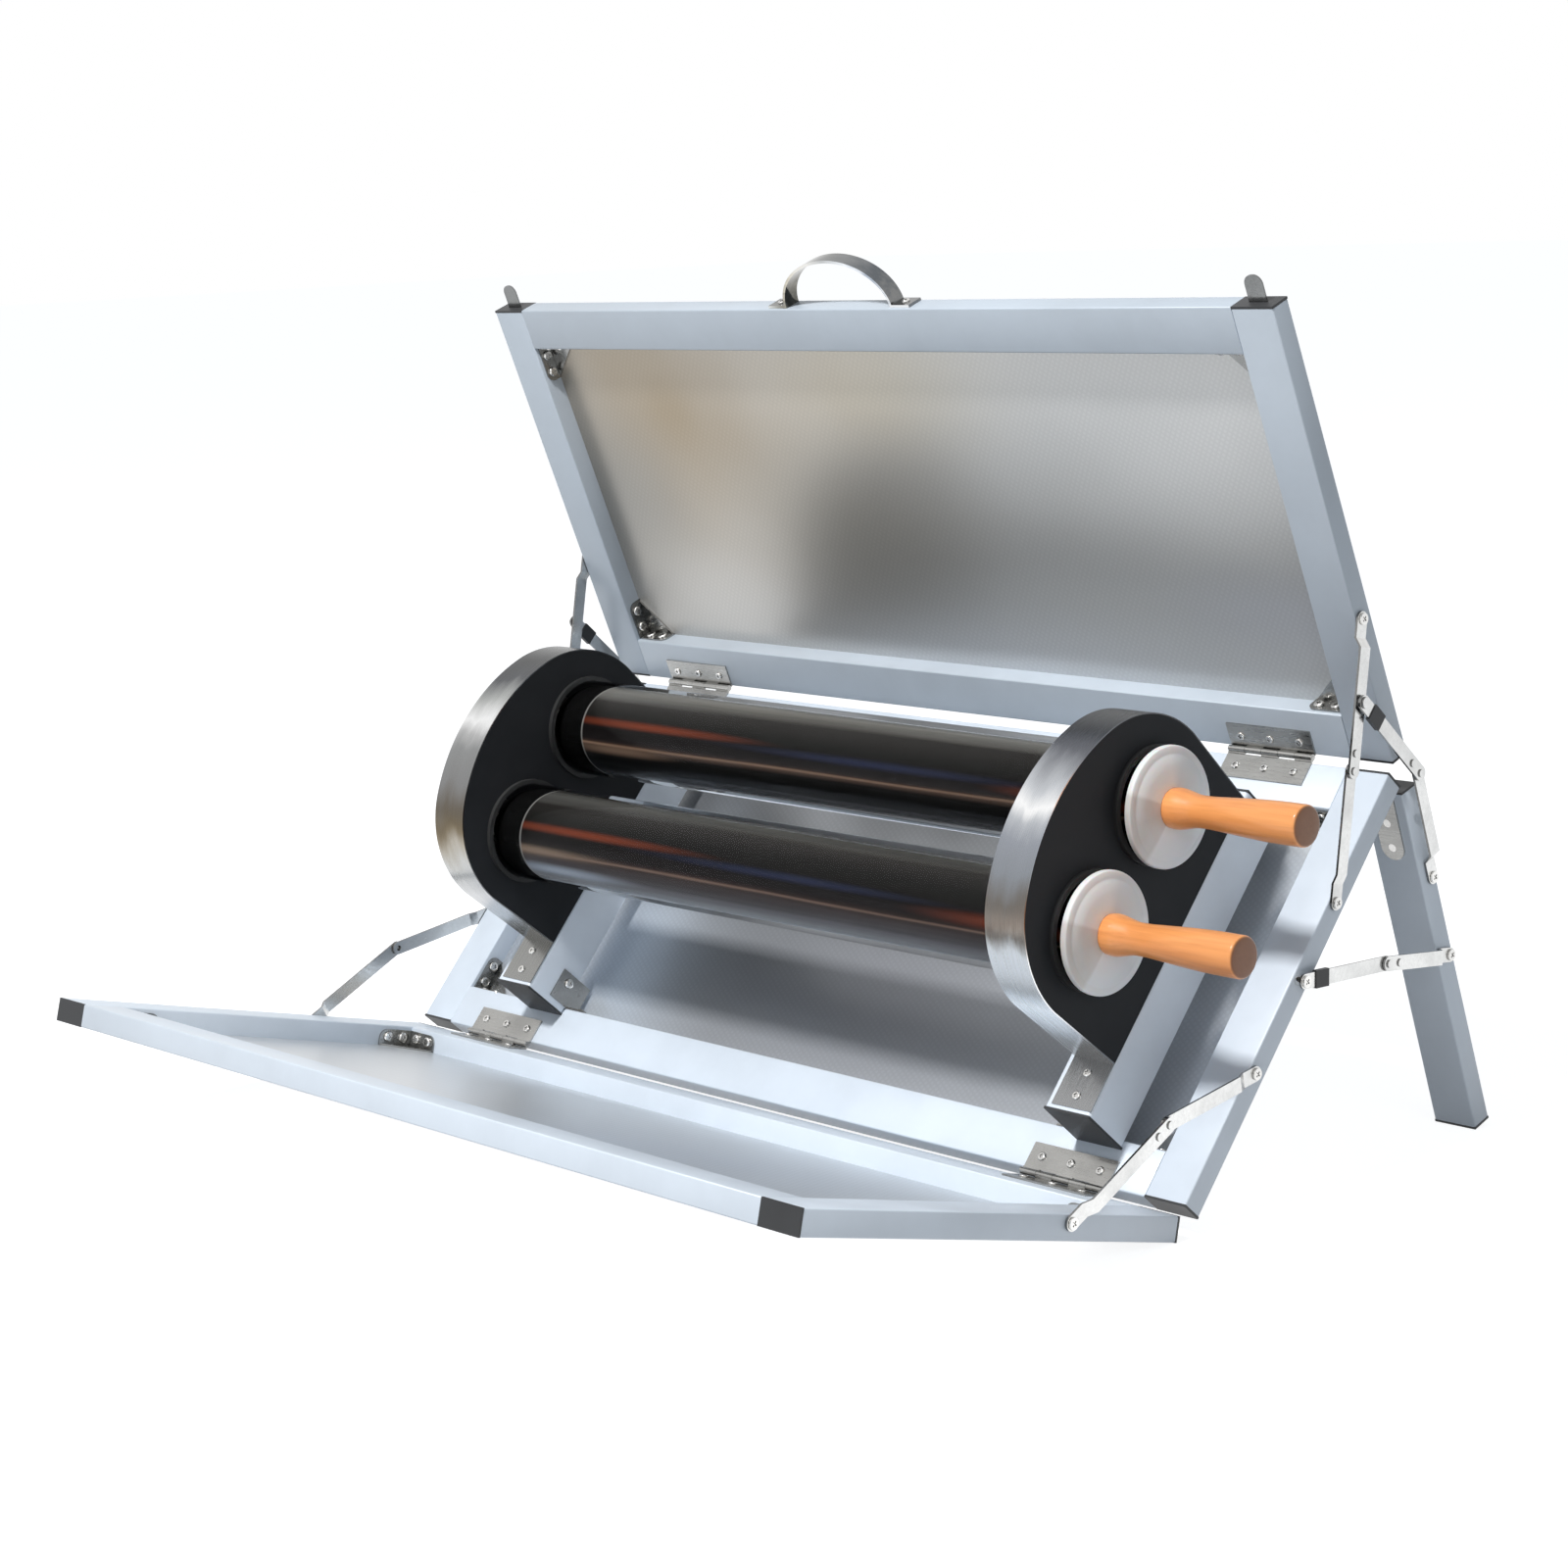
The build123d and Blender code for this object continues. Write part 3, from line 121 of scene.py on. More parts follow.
def make_piece(name, parts, body, material, stands_for=()):
    """Join (points, faces) pairs into one mesh, weld it, turn its faces out and ride it."""
    points, faces, start = [], [], 0
    for part_points, part_faces in parts:
        flat = np.asarray(part_points).reshape(-1, 3)
        points.append(flat)
        faces.append(np.asarray(part_faces) + start)
        start += len(flat)
    mesh = bpy.data.meshes.new(name)
    mesh.from_pydata(np.concatenate(points).tolist(), [], np.concatenate(faces).tolist())
    shape = bmesh.new()
    shape.from_mesh(mesh)
    bmesh.ops.remove_doubles(shape, verts=shape.verts, dist=1e-6)
    bmesh.ops.dissolve_degenerate(shape, edges=shape.edges, dist=1e-7)
    bmesh.ops.recalc_face_normals(shape, faces=shape.faces)
    shape.to_mesh(mesh)
    shape.free()
    mesh.shade_smooth()
    mesh.set_sharp_from_angle(angle=np.radians(CREASE))
    mesh.materials.append(material)
    piece = bpy.data.objects.new(name, mesh)
    bpy.context.collection.objects.link(piece)
    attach(piece, body)
    if stands_for:
        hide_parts(*stands_for)
    return piece


# %% [markdown]
# ## Finishes
# Nothing on the oven is one flat colour. The rails are satin aluminium that mirrors the sky
# softly, the sheets are embossed, the bands are brushed, and the wood is varnished. Each finish
# is a small node tree that reads Object coordinates, so the pattern stays on the piece when the
# camera moves or the oven folds. A few helpers keep the trees short.

# %% Material helpers


class Finish:
    """A material with a Principled shader, and short ways to add nodes to it."""

    def __init__(self, name, roughness=0.5, metallic=0.0, colour=(0.8, 0.8, 0.8)):
        self.material = bpy.data.materials.new(name)
        self.material.use_nodes = True
        self.tree = self.material.node_tree
        self.shader = self.tree.nodes["Principled BSDF"]
        self.shader.inputs["Roughness"].default_value = roughness
        self.shader.inputs["Metallic"].default_value = metallic
        self.shader.inputs["Base Color"].default_value = (*colour, 1)
        self.coords = self.add("ShaderNodeTexCoord").outputs["Object"]

    def add(self, kind, **values):
        """A node of a kind, with sockets or settings filled in by name."""
        node = self.tree.nodes.new(kind)
        for key, value in values.items():
            socket = node.inputs.get(key.replace("_", " "))
            if socket is None:
                setattr(node, key, value)
            elif isinstance(value, bpy.types.NodeSocket):
                self.tree.links.new(value, socket)
            else:
                socket.default_value = value
        return node

    def turned(self, turn=(0, 0, 0), scale=(1, 1, 1), shift=(0, 0, 0)):
        """Object coordinates turned (degrees), stretched and shifted."""
        node = self.add("ShaderNodeMapping", Vector=self.coords)
        node.inputs["Rotation"].default_value = tuple(np.radians(turn))
        node.inputs["Scale"].default_value = scale
        node.inputs["Location"].default_value = shift
        return node.outputs["Vector"]

    def noise(self, vector, scale, detail=4.0, roughness=0.5):
        """Soft cloudy values round 0.5."""
        node = self.add("ShaderNodeTexNoise", Vector=vector, Scale=scale, Detail=detail)
        node.inputs["Roughness"].default_value = roughness
        return node.outputs["Fac"]

    def ramp(self, value, stops):
        """Colours along a value; stops are (place, (r, g, b))."""
        node = self.add("ShaderNodeValToRGB", Fac=value)
        while len(node.color_ramp.elements) < len(stops):
            node.color_ramp.elements.new(0.5)
        for element, (place, colour) in zip(node.color_ramp.elements, stops):
            element.position = place
            element.color = (*colour, 1)
        return node.outputs["Color"]

    def number(self, value, low, high, start=0.0, end=1.0):
        """A value between start and end, stretched to run from low to high."""
        node = self.add("ShaderNodeMapRange", Value=value)
        for key, number in (("From Min", start), ("From Max", end), ("To Min", low), ("To Max", high)):
            node.inputs[key].default_value = number
        return node.outputs["Result"]

    def blend(self, share, first, second, mode="MIX"):
        """Two colours mixed by a share."""
        node = self.add("ShaderNodeMix", data_type="RGBA", blend_type=mode)
        for socket, value in ((node.inputs[0], share), (node.inputs[6], first), (node.inputs[7], second)):
            if isinstance(value, bpy.types.NodeSocket):
                self.tree.links.new(value, socket)
            else:
                socket.default_value = value if isinstance(value, float) else (*value, 1)
        return node.outputs[2]

    def spot(self, vector, centre, size):
        """A soft round spot: 1 at its centre, falling to 0 at its edge."""
        node = self.add("ShaderNodeMapping", Vector=vector)
        node.inputs["Scale"].default_value = tuple(1 / t for t in size)
        node.inputs["Location"].default_value = tuple(-c / t for c, t in zip(centre, size))
        gradient = self.add("ShaderNodeTexGradient", gradient_type="SPHERICAL", Vector=node.outputs[0])
        eased = self.add("ShaderNodeMapRange", Value=gradient.outputs["Fac"], interpolation_type="SMOOTHSTEP")
        return eased.outputs["Result"]

    def bump(self, height, distance, strength=1.0):
        """Make the surface rise and fall with a height value."""
        node = self.add("ShaderNodeBump", Height=height, Distance=distance, Strength=strength)
        last = self.shader.inputs["Normal"]
        if last.is_linked:
            self.tree.links.new(last.links[0].from_socket, node.inputs["Normal"])
        self.tree.links.new(node.outputs["Normal"], last)

    def set(self, **sockets):
        """Set or link the shader's own sockets."""
        for key, value in sockets.items():
            socket = self.shader.inputs[key.replace("_", " ")]
            if isinstance(value, bpy.types.NodeSocket):
                self.tree.links.new(value, socket)
            else:
                socket.default_value = value


# %% [markdown]
# ## Satin aluminium rails
# The rails look pale blue-white where they face up and steel blue where they face sideways. A
# plain metal shader would mirror the white room and lose the blue, so the finish is hardly
# metal at all, with faint drawing lines along each bar, small smudges and an uneven gloss.

# %% Rail finish


def rail_finish(name, turn, along, colour):
    """Drawn aluminium: fine lines along the bar, cloudy gloss, and faint smudges."""
    finish = Finish(name, metallic=0.05)
    finish.set(Specular_IOR_Level=0.32)
    stretch = [900.0, 900.0, 900.0]
    stretch[along] = 6.0
    across = [2.5, 2.5, 2.5]
    lines = finish.noise(finish.turned(turn, stretch), 1.0, 3.0)
    smudges = finish.noise(finish.turned(turn, across), 4.0, 5.0, 0.6)
    light = tuple(min(1.0, c * 1.04) for c in colour)
    dark = tuple(c * 0.93 for c in colour)
    tone = finish.ramp(smudges, [(0.35, dark), (0.6, colour), (0.8, light)])
    finish.set(
        Base_Color=finish.blend(finish.number(lines, 0.0, 0.10), tone, dark),
        Roughness=finish.number(smudges, 0.30, 0.46, 0.3, 0.7),
    )
    finish.bump(lines, 0.00004, 0.35)
    return finish.material


RAIL_BLUE = (0.72, 0.785, 0.86)
# Painted shade: the top panel's rails get a darker copy of the rail blue, because that panel's front faces
# turn down, away from the light
TOP_SHADED_BLUE = (0.55, 0.61, 0.675)
# Painted light: the supports get a lighter copy of the rail blue, standing in for light thrown on them by the
# sheet round them
SUPPORT_LIT_BLUE = (0.78, 0.84, 0.91)
# Turns that lay each frame flat, so that a pattern follows its length and width
LAY_MAIN = -MAIN_LEAN
LAY_TOP = -(MAIN_LEAN + TOP_TURN)
LAY_BOTTOM = -(MAIN_LEAN + BOTTOM_TURN)
LAY_LEG = -(MAIN_LEAN + LEG_TURN)
main_side_finish = rail_finish("rail_main_side", (LAY_MAIN, 0, 0), 1, RAIL_BLUE)
top_side_shaded_finish = rail_finish("rail_top_side_painted_shade", (LAY_TOP, 0, 0), 1, TOP_SHADED_BLUE)
bottom_side_finish = rail_finish("rail_bottom_side", (LAY_BOTTOM, 0, 0), 1, RAIL_BLUE)
leg_finish = rail_finish("rail_leg", (LAY_LEG, 0, 0), 1, RAIL_BLUE)
cross_finish = rail_finish("rail_cross", (0, 0, 0), 0, RAIL_BLUE)
top_cross_shaded_finish = rail_finish("rail_top_cross_painted_shade", (0, 0, 0), 0, TOP_SHADED_BLUE)
support_lit_finish = rail_finish("support_metal_painted_light", (LAY_MAIN, 0, 0), 1, SUPPORT_LIT_BLUE)

# %% [markdown]
# ## Rounded bars
# Box section has small round corners that catch the light. The bar is a rounded rectangle,
# a loop of quarter circles, carried straight along; its ends close to a point in the middle.
# A bevel on a cube gives the same look, but the loop keeps the corner's size exact.

# %% Rounded bars
END_ROUNDING, END_SHRINK, CORNER_STEPS = 0.4, 0.985, 5
RAIL_CENTRE, RAIL_HALF, RAIL_DEPTH, CAP_ROOM = 450, 20, 20, 2
MAIN_LENGTH, TOP_LENGTH, BOTTOM_LENGTH, LEG_END = 392, 395, 398, 309.0
SUPPORT_CENTRES, SUPPORT_HALF, SUPPORT_DEPTH = (367, -311.5), 23, 50
SUPPORT_FOOT, SUPPORT_HEAD, SUPPORT_ROUNDING = 34, 330.5, 3.0


def rounded_loop(half_a, half_b, radius):
    """Rectangle with quarter circles for corners: corner centre plus radius times a unit circle."""
    quarter = np.linspace(0, np.pi / 2, CORNER_STEPS)
    angles = (np.arange(4)[:, None] * np.pi / 2 + quarter[None, :]).ravel()
    sign = np.array([(1, 1), (-1, 1), (-1, -1), (1, -1)]).repeat(CORNER_STEPS, axis=0)
    centre = sign * np.array([half_a - radius, half_b - radius])
    return centre + radius * np.stack([np.cos(angles), np.sin(angles)], axis=-1)


def bar(place, low, high, axis, radius=1.4):
    """A rounded bar between two corners of a frame's numbers, running along one axis."""
    low, high = np.array(low, dtype=float), np.array(high, dtype=float)
    across = [k for k in range(3) if k != axis]
    middle, half = (low + high) / 2, (high - low) / 2
    loop = rounded_loop(half[across[0]], half[across[1]], radius)
    start, end = low[axis], high[axis]
    stations = np.array([start, start, start + END_ROUNDING, end - END_ROUNDING, end, end])
    shrink = np.array([0.0, END_SHRINK, 1.0, 1.0, END_SHRINK, 0.0])
    spots = np.zeros((len(stations), len(loop), 3))
    spots[:, :, axis] = stations[:, None]
    for column, k in enumerate(across):
        spots[:, :, k] = middle[k] + shrink[:, None] * loop[None, :, column]
    points = place(spots[..., 0], spots[..., 1], spots[..., 2])
    return points, grid_faces(len(stations), len(loop))


def frame_rails(name, place, height, side_finish, cross_finish):
    """Side rails and cross rails of one frame, each pair as one piece."""
    inner, width = RAIL_CENTRE - RAIL_HALF, 2 * RAIL_HALF
    sides = [
        bar(
            place,
            (s * RAIL_CENTRE - RAIL_HALF, CAP_ROOM, -RAIL_DEPTH),
            (s * RAIL_CENTRE + RAIL_HALF, height - CAP_ROOM, 0),
            1,
        )
        for s in (1, -1)
    ]
    crosses = [
        bar(place, (-inner, y, -RAIL_DEPTH), (inner, y + width, 0), 0) for y in (0, height - width)
    ]
    body = {"main": "main_frame", "top": "top_panel", "bottom": "bottom_panel"}[name]
    make_piece(name + "_side_bars", sides, body, side_finish, [name + "_side_rails"])
    make_piece(name + "_cross_bars", crosses, body, cross_finish, [name + "_cross_rails"])


frame_rails("main", oven, MAIN_LENGTH, main_side_finish, cross_finish)
frame_rails("top", top, TOP_LENGTH, top_side_shaded_finish, top_cross_shaded_finish)
frame_rails("bottom", bottom, BOTTOM_LENGTH, bottom_side_finish, cross_finish)
leg_bars = [
    bar(
        leg,
        (s * RAIL_CENTRE - RAIL_HALF, CAP_ROOM, LEG_BACK),
        (s * RAIL_CENTRE + RAIL_HALF, LEG_END, LEG_BACK + RAIL_DEPTH),
        1,
    )
    for s in (1, -1)
]
make_piece("leg_bars", leg_bars, "leg_pair", leg_finish, ["rear_legs"])
supports = [
    bar(
        oven,
        (x - SUPPORT_HALF, SUPPORT_FOOT, 0),
        (x + SUPPORT_HALF, SUPPORT_HEAD, SUPPORT_DEPTH),
        1,
        SUPPORT_ROUNDING,
    )
    for x in SUPPORT_CENTRES
]
make_piece("support_bars", supports, "main_frame", support_lit_finish, ["support_tubes"])

# %% [markdown]
# ## Reflector sheets
# Each frame holds a thin bright sheet with a fine embossed pattern. It isn't flat enough to be
# a mirror, so it shows soft blots of what is round it. The pattern is a bump from two crossed
# waves, and the blots are painted reflections and painted shade: soft spots of warmer and
# darker grey placed on the sheet.

# %% Reflector finish


def reflector_finish(name, turn, base, spots):
    """Embossed sheet: dots where two fine waves cross, slow undulation, and soft spots of painted reflection
    and shade.
    """
    finish = Finish(name, metallic=0.62)
    flat = finish.turned((turn, 0, 0))
    wander = finish.noise(finish.turned((turn, 0, 0), (1, 1.4, 1)), 4.0, 2.0)
    wobble = finish.number(wander, 0.7, 1.25, 0.3, 0.7)
    colour = base
    # The spots lay painted reflections, some light and some dark, over the base colour
    for centre, size, tone in spots:
        share = finish.add("ShaderNodeMath", operation="MULTIPLY", use_clamp=True)
        finish.tree.links.new(finish.spot(flat, centre, size), share.inputs[0])
        finish.tree.links.new(wobble, share.inputs[1])
        colour = finish.blend(share.outputs[0], colour, tone)
    slanted = finish.turned((turn, 0, WEAVE_SLANT))
    weave_a = finish.add("ShaderNodeTexWave", Vector=slanted, Scale=WEAVE_SCALE)
    weave_b = finish.add("ShaderNodeTexWave", Vector=slanted, Scale=WEAVE_SCALE, bands_direction="Y")
    weave = finish.add("ShaderNodeMath", operation="MULTIPLY")
    finish.tree.links.new(weave_a.outputs["Fac"], weave.inputs[0])
    finish.tree.links.new(weave_b.outputs["Fac"], weave.inputs[1])
    speck = finish.ramp(weave.outputs[0], [(0.0, (0.93, 0.93, 0.93)), (0.7, (1.0, 1.0, 1.0))])
    finish.set(
        Base_Color=finish.blend(1.0, colour, speck, "MULTIPLY"),
        Roughness=finish.number(wander, 0.30, 0.38, 0.3, 0.7),
    )
    finish.bump(wander, 0.003, 0.2)
    finish.bump(weave.outputs[0], 0.00006, 0.25)
    return finish.material


WEAVE_SCALE, WEAVE_SLANT = 71.0, 32
# Centre, size and tone of the painted reflections on each sheet
top_painted_reflections = [
    ((-0.05, 0.52, 0), (0.26, 0.12, 1), (0.56, 0.52, 0.43)),
    ((0.05, 0.235, 0), (0.55, 0.11, 1), (0.70, 0.71, 0.73)),
    ((-0.33, 0.50, 0), (0.50, 0.38, 1), (0.33, 0.25, 0.15)),
    ((-0.43, 0.39, 0), (0.16, 0.16, 1), (0.27, 0.27, 0.26)),
    ((0.30, 0.47, 0), (0.36, 0.16, 1), (0.86, 0.86, 0.85)),
    ((0.36, 0.32, 0), (0.20, 0.07, 1), (0.52, 0.53, 0.56)),
    ((-0.31, 0.28, 0), (0.20, 0.09, 1), (0.58, 0.57, 0.55)),
    ((-0.10, 0.385, 0), (0.24, 0.14, 1), (0.37, 0.352, 0.315)),
]
# On the main sheet the dark band is painted shade and reflection of the tubes, and the pale patch right of
# the support is painted light
main_painted_reflections_and_shade = [
    ((-0.32, 0.13, 0), (0.20, 0.18, 1), (0.70, 0.76, 0.83)),
    ((0.02, 0.15, 0), (0.30, 0.15, 1), (0.37, 0.38, 0.41)),
    ((-0.12, 0.32, 0), (0.75, 0.15, 1), (0.13, 0.135, 0.14)),
    ((0.42, 0.22, 0), (0.10, 0.30, 1), (0.80, 0.84, 0.88)),
]
bottom_painted_reflections = [
    ((-0.2, 0.3, 0), (0.5, 0.25, 1), (0.72, 0.74, 0.76)),
    ((0.15, 0.25, 0), (0.3, 0.25, 1), (0.66, 0.71, 0.78)),
]
SHEETS = (
    ("top_reflector", LAY_TOP, (0.54, 0.54, 0.53), top_painted_reflections),
    ("main_reflector", LAY_MAIN, (0.50, 0.52, 0.55), main_painted_reflections_and_shade),
    ("bottom_reflector", LAY_BOTTOM, (0.62, 0.65, 0.68), bottom_painted_reflections),
)
for sheet_name, turn, base, spots in SHEETS:
    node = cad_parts[sheet_name]
    node.data.materials.clear()
    node.data.materials.append(reflector_finish(sheet_name + "_finish", turn, base, spots))

# %% [markdown]
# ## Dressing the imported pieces
# Caps, brackets, screws, hinge leaves and stay arms have the right shape already, so they only
# need their finishes: dull black plastic with a moulded grain, and bright steel with fine
# scratches and a little warmth.

# %% Plastic, rubber and steel


def plastic_finish(name, colour, roughness, grain=900.0, depth=0.00012, shine=0.4):
    """Moulded plastic or rubber: fine grain bump, cloudy gloss."""
    finish = Finish(name, roughness=roughness, colour=colour)
    finish.set(Specular_IOR_Level=shine)
    grainy = finish.noise(finish.turned(), grain, 3.0)
    clouds = finish.noise(finish.turned(), 14.0, 4.0)
    pale = tuple(min(1.0, c * 1.5 + 0.01) for c in colour)
    finish.set(
        Base_Color=finish.ramp(clouds, [(0.3, colour), (0.85, pale)]),
        Roughness=finish.number(clouds, roughness - 0.06, roughness + 0.08, 0.3, 0.7),
    )
    finish.bump(grainy, depth, 0.5)
    return finish.material


def steel_finish(name, colour, stretch, roughness, edge_shade=0.0):
    """Bright steel: scratches, slow changes of tone, painted shade in crevices and, on flat arms, painted
    shade on the edges.
    """
    finish = Finish(name, metallic=1.0)
    scratches = finish.noise(finish.turned((0, 0, 0), stretch), 1.0, 4.0, 0.6)
    clouds = finish.noise(finish.turned(), 18.0, 3.0)
    dark = tuple(c * 0.72 for c in colour)
    light = tuple(min(1, c * 1.1) for c in colour)
    tone = finish.ramp(clouds, [(0.3, dark), (0.55, colour), (0.8, light)])
    wear_and_edge_shade = finish.blend(finish.number(scratches, 0.0, 0.35, 0.3, 0.7), tone, dark)
    # Painted shade: where the surface does not face along x, such as the thin sides of the flat stay arms,
    # the colour darkens towards near black
    facing = finish.add("ShaderNodeTexCoord").outputs["Normal"]
    sideways = finish.add("ShaderNodeSeparateXYZ", Vector=facing).outputs["X"]
    flatness = finish.add("ShaderNodeMath", operation="ABSOLUTE")
    finish.tree.links.new(sideways, flatness.inputs[0])
    edge_shade_share = finish.number(flatness.outputs[0], edge_shade, 0.0, 0.3, 0.8)
    wear_and_edge_shade = finish.blend(edge_shade_share, wear_and_edge_shade, (0.10, 0.10, 0.10))
    # Painted shade in crevices: ambient occlusion darkens the colour close to other surfaces
    open_air = finish.add("ShaderNodeAmbientOcclusion", Distance=CREVICE, samples=8)
    crevice_shade = finish.number(open_air.outputs["AO"], 0.8, 0.0, 0.25, 0.7)
    finish.set(
        Base_Color=finish.blend(crevice_shade, wear_and_edge_shade, tuple(c * 0.10 for c in colour)),
        Roughness=finish.number(scratches, *roughness, 0.3, 0.7),
    )
    finish.bump(scratches, SCRATCH_DEPTH, 0.5)
    return finish.material


# CREVICE is how far the painted crevice shade reaches
CREVICE, SCRATCH_DEPTH = 0.003, 0.00003
black_plastic = plastic_finish("black_plastic", (0.020, 0.021, 0.023), 0.45)
charcoal_plate = plastic_finish("charcoal_plate", (0.010, 0.011, 0.013), 0.66, 1500.0, 0.0002, 0.2)
dark_rubber = plastic_finish("dark_rubber", (0.018, 0.018, 0.018), 0.5)
stay_steel = steel_finish("stay_steel", (0.72, 0.72, 0.71), (300, 300, 300), (0.14, 0.28), 0.75)
tongue_steel = steel_finish("tongue_steel", (0.24, 0.245, 0.245), (300, 300, 300), (0.16, 0.30))
hinge_steel = steel_finish("hinge_steel", (0.46, 0.455, 0.44), (40, 700, 700), (0.22, 0.36))
bracket_steel = steel_finish("bracket_steel", (0.36, 0.36, 0.35), (200, 200, 200), (0.16, 0.30))
screw_steel = steel_finish("screw_steel", (0.80, 0.79, 0.77), (400, 400, 400), (0.10, 0.20))


def polished_finish():
    """Bright handle: painted reflections as bands along the arch, and painted shade where it turns from the
    panel's front.
    """
    finish = Finish("polished_steel", metallic=1.0)
    parts = finish.add("ShaderNodeSeparateXYZ", Vector=finish.coords)
    streaks = finish.noise(finish.turned((0, 0, 0), (20, 160, 160)), 1.0, 3.0, 0.6)
    place = finish.add("ShaderNodeMath", operation="ADD")
    finish.tree.links.new(finish.number(parts.outputs["X"], 0.0, 1.0, -0.115, 0.062), place.inputs[0])
    finish.tree.links.new(finish.number(streaks, -0.05, 0.05, 0.3, 0.7), place.inputs[1])
    # Painted reflections: light and dark bands along the arch
    tone = finish.ramp(
        place.outputs[0],
        [
            (0.00, (0.56, 0.57, 0.56)),
            (0.12, (0.20, 0.19, 0.16)),
            (0.20, (0.50, 0.47, 0.40)),
            (0.34, (0.62, 0.61, 0.58)),
            (0.50, (0.40, 0.41, 0.41)),
            (0.64, (0.66, 0.68, 0.71)),
            (0.78, (0.27, 0.31, 0.37)),
            (0.88, (0.60, 0.61, 0.62)),
        ],
    )
    # Painted shade: darker where the surface turns away from the panel's front
    facing = finish.add("ShaderNodeTexCoord").outputs["Normal"]
    frontness = finish.add("ShaderNodeVectorMath", operation="DOT_PRODUCT")
    finish.tree.links.new(facing, frontness.inputs[0])
    frontness.inputs[1].default_value = tuple(top(0, 0, 1) - top(0, 0, 0))
    turned_away_shade = finish.number(frontness.outputs["Value"], 0.72, 0.0, *FRONT_SPAN)
    tone = finish.blend(turned_away_shade, tone, (0.07, 0.07, 0.065))
    finish.set(Base_Color=tone, Roughness=finish.number(streaks, 0.06, 0.16, 0.3, 0.7))
    finish.bump(streaks, 0.00004, 0.4)
    return finish.material


# The front direction is one millimetre long, so a surface that faces it gives 0.001
FRONT_SPAN = (0.25e-3, 0.85e-3)
polished_steel = polished_finish()

dressed = {}
for node_name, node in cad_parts.items():
    if "caps" in node_name or "latch_slide" in node_name or "sleeves" in node_name:
        dressed[node_name] = black_plastic
    elif node_name == "housing_plates":
        dressed[node_name] = charcoal_plate
    elif "seals" in node_name or "rests" in node_name:
        dressed[node_name] = dark_rubber
    elif "hinge" in node_name:
        dressed[node_name] = hinge_steel
    elif "brackets" in node_name:
        dressed[node_name] = bracket_steel
    elif "fasteners" in node_name or "getter" in node_name:
        dressed[node_name] = screw_steel
    elif "tongue" in node_name:
        dressed[node_name] = tongue_steel
    elif "arms" in node_name or "tray" in node_name or "rod" in node_name:
        dressed[node_name] = stay_steel
    elif node_name == "carry_handle":
        dressed[node_name] = polished_steel
for node_name, finish in dressed.items():
    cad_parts[node_name].data.materials.clear()
    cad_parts[node_name].data.materials.append(finish)
print("packed pieces dressed:", len(dressed))

# %% [markdown]
# ## Housing bands
# A thin brushed strip runs round each housing and folds onto the support tube with two screws.
# The strip is the housing's outline, arcs and straight sides, carried across the housing's
# depth. Brushing runs along the strip, which shows as long soft streaks of light, and broad
# zones of painted reflection go round it.

# %% Bands
RIGHT_BAND, LEFT_BAND = (350, 390), (-328.5, -288.5)
BAND_SHEET, BAND_BEVEL, TAB_END, BAND_HEART = 1.0, 0.3, 37.0, 120.0
BAND_MIDDLE, BAND_FOOT, BAND_CROWN = 202.0, 50.0, 235.0
BAND_HALF, BAND_TAPER = 127.5, 5.0
CORNER_RADIUS, CROWN_ANGLE = 92.0, np.radians(65.0)


def housing_line(inset):
    """Open outline of a housing: base, side, corner arc, crown arc, corner arc, side, base."""
    corner = BAND_HALF - CORNER_RADIUS
    reach = corner / np.cos(CROWN_ANGLE)
    corner_w = BAND_CROWN - CORNER_RADIUS - reach * (1 - np.sin(CROWN_ANGLE))
    crown_w = corner_w - reach * np.sin(CROWN_ANGLE)
    a = np.linspace(0, CROWN_ANGLE, 30)[:, None]
    b = np.linspace(CROWN_ANGLE, np.pi - CROWN_ANGLE, 30)[1:-1, None]
    small, large = CORNER_RADIUS - inset, CORNER_RADIUS + reach - inset
    right = np.hstack([corner + small * np.cos(a), corner_w + small * np.sin(a)])
    crown = np.hstack([large * np.cos(b), crown_w + large * np.sin(b)])
    low = np.array([[BAND_HALF - inset - BAND_TAPER, BAND_FOOT]])
    line = np.concatenate([low, right, crown, right[::-1] * (-1, 1), low * (-1, 1)])
    return line + (BAND_MIDDLE, 0)


def band(x0, x1):
    """A strip's section, four corners, carried along the outline and out along its lower tab."""
    outer, inner = housing_line(0.0), housing_line(BAND_SHEET)
    turn = [outer[-1] + (-BAND_BEVEL, BAND_SHEET)]
    outside = np.concatenate([outer[:-1], turn, [[TAB_END, BAND_FOOT + BAND_SHEET]]])
    inside = np.concatenate([inner, [[TAB_END, BAND_FOOT]]])
    xs = np.array([x0, x0 + BAND_BEVEL, x1 - BAND_BEVEL, x1])
    outside_grid = oven(xs[None, :], outside[:, :1], outside[:, 1:])
    inside_grid = oven(xs[None, ::-1], inside[:, :1], inside[:, 1:])
    ring = np.concatenate([outside_grid, inside_grid], axis=1)
    middle = (ring[[0, -1]]).mean(axis=1, keepdims=True).repeat(8, axis=1)
    ring = np.concatenate([middle[:1], ring, middle[1:]])
    return ring, grid_faces(len(ring), 8)


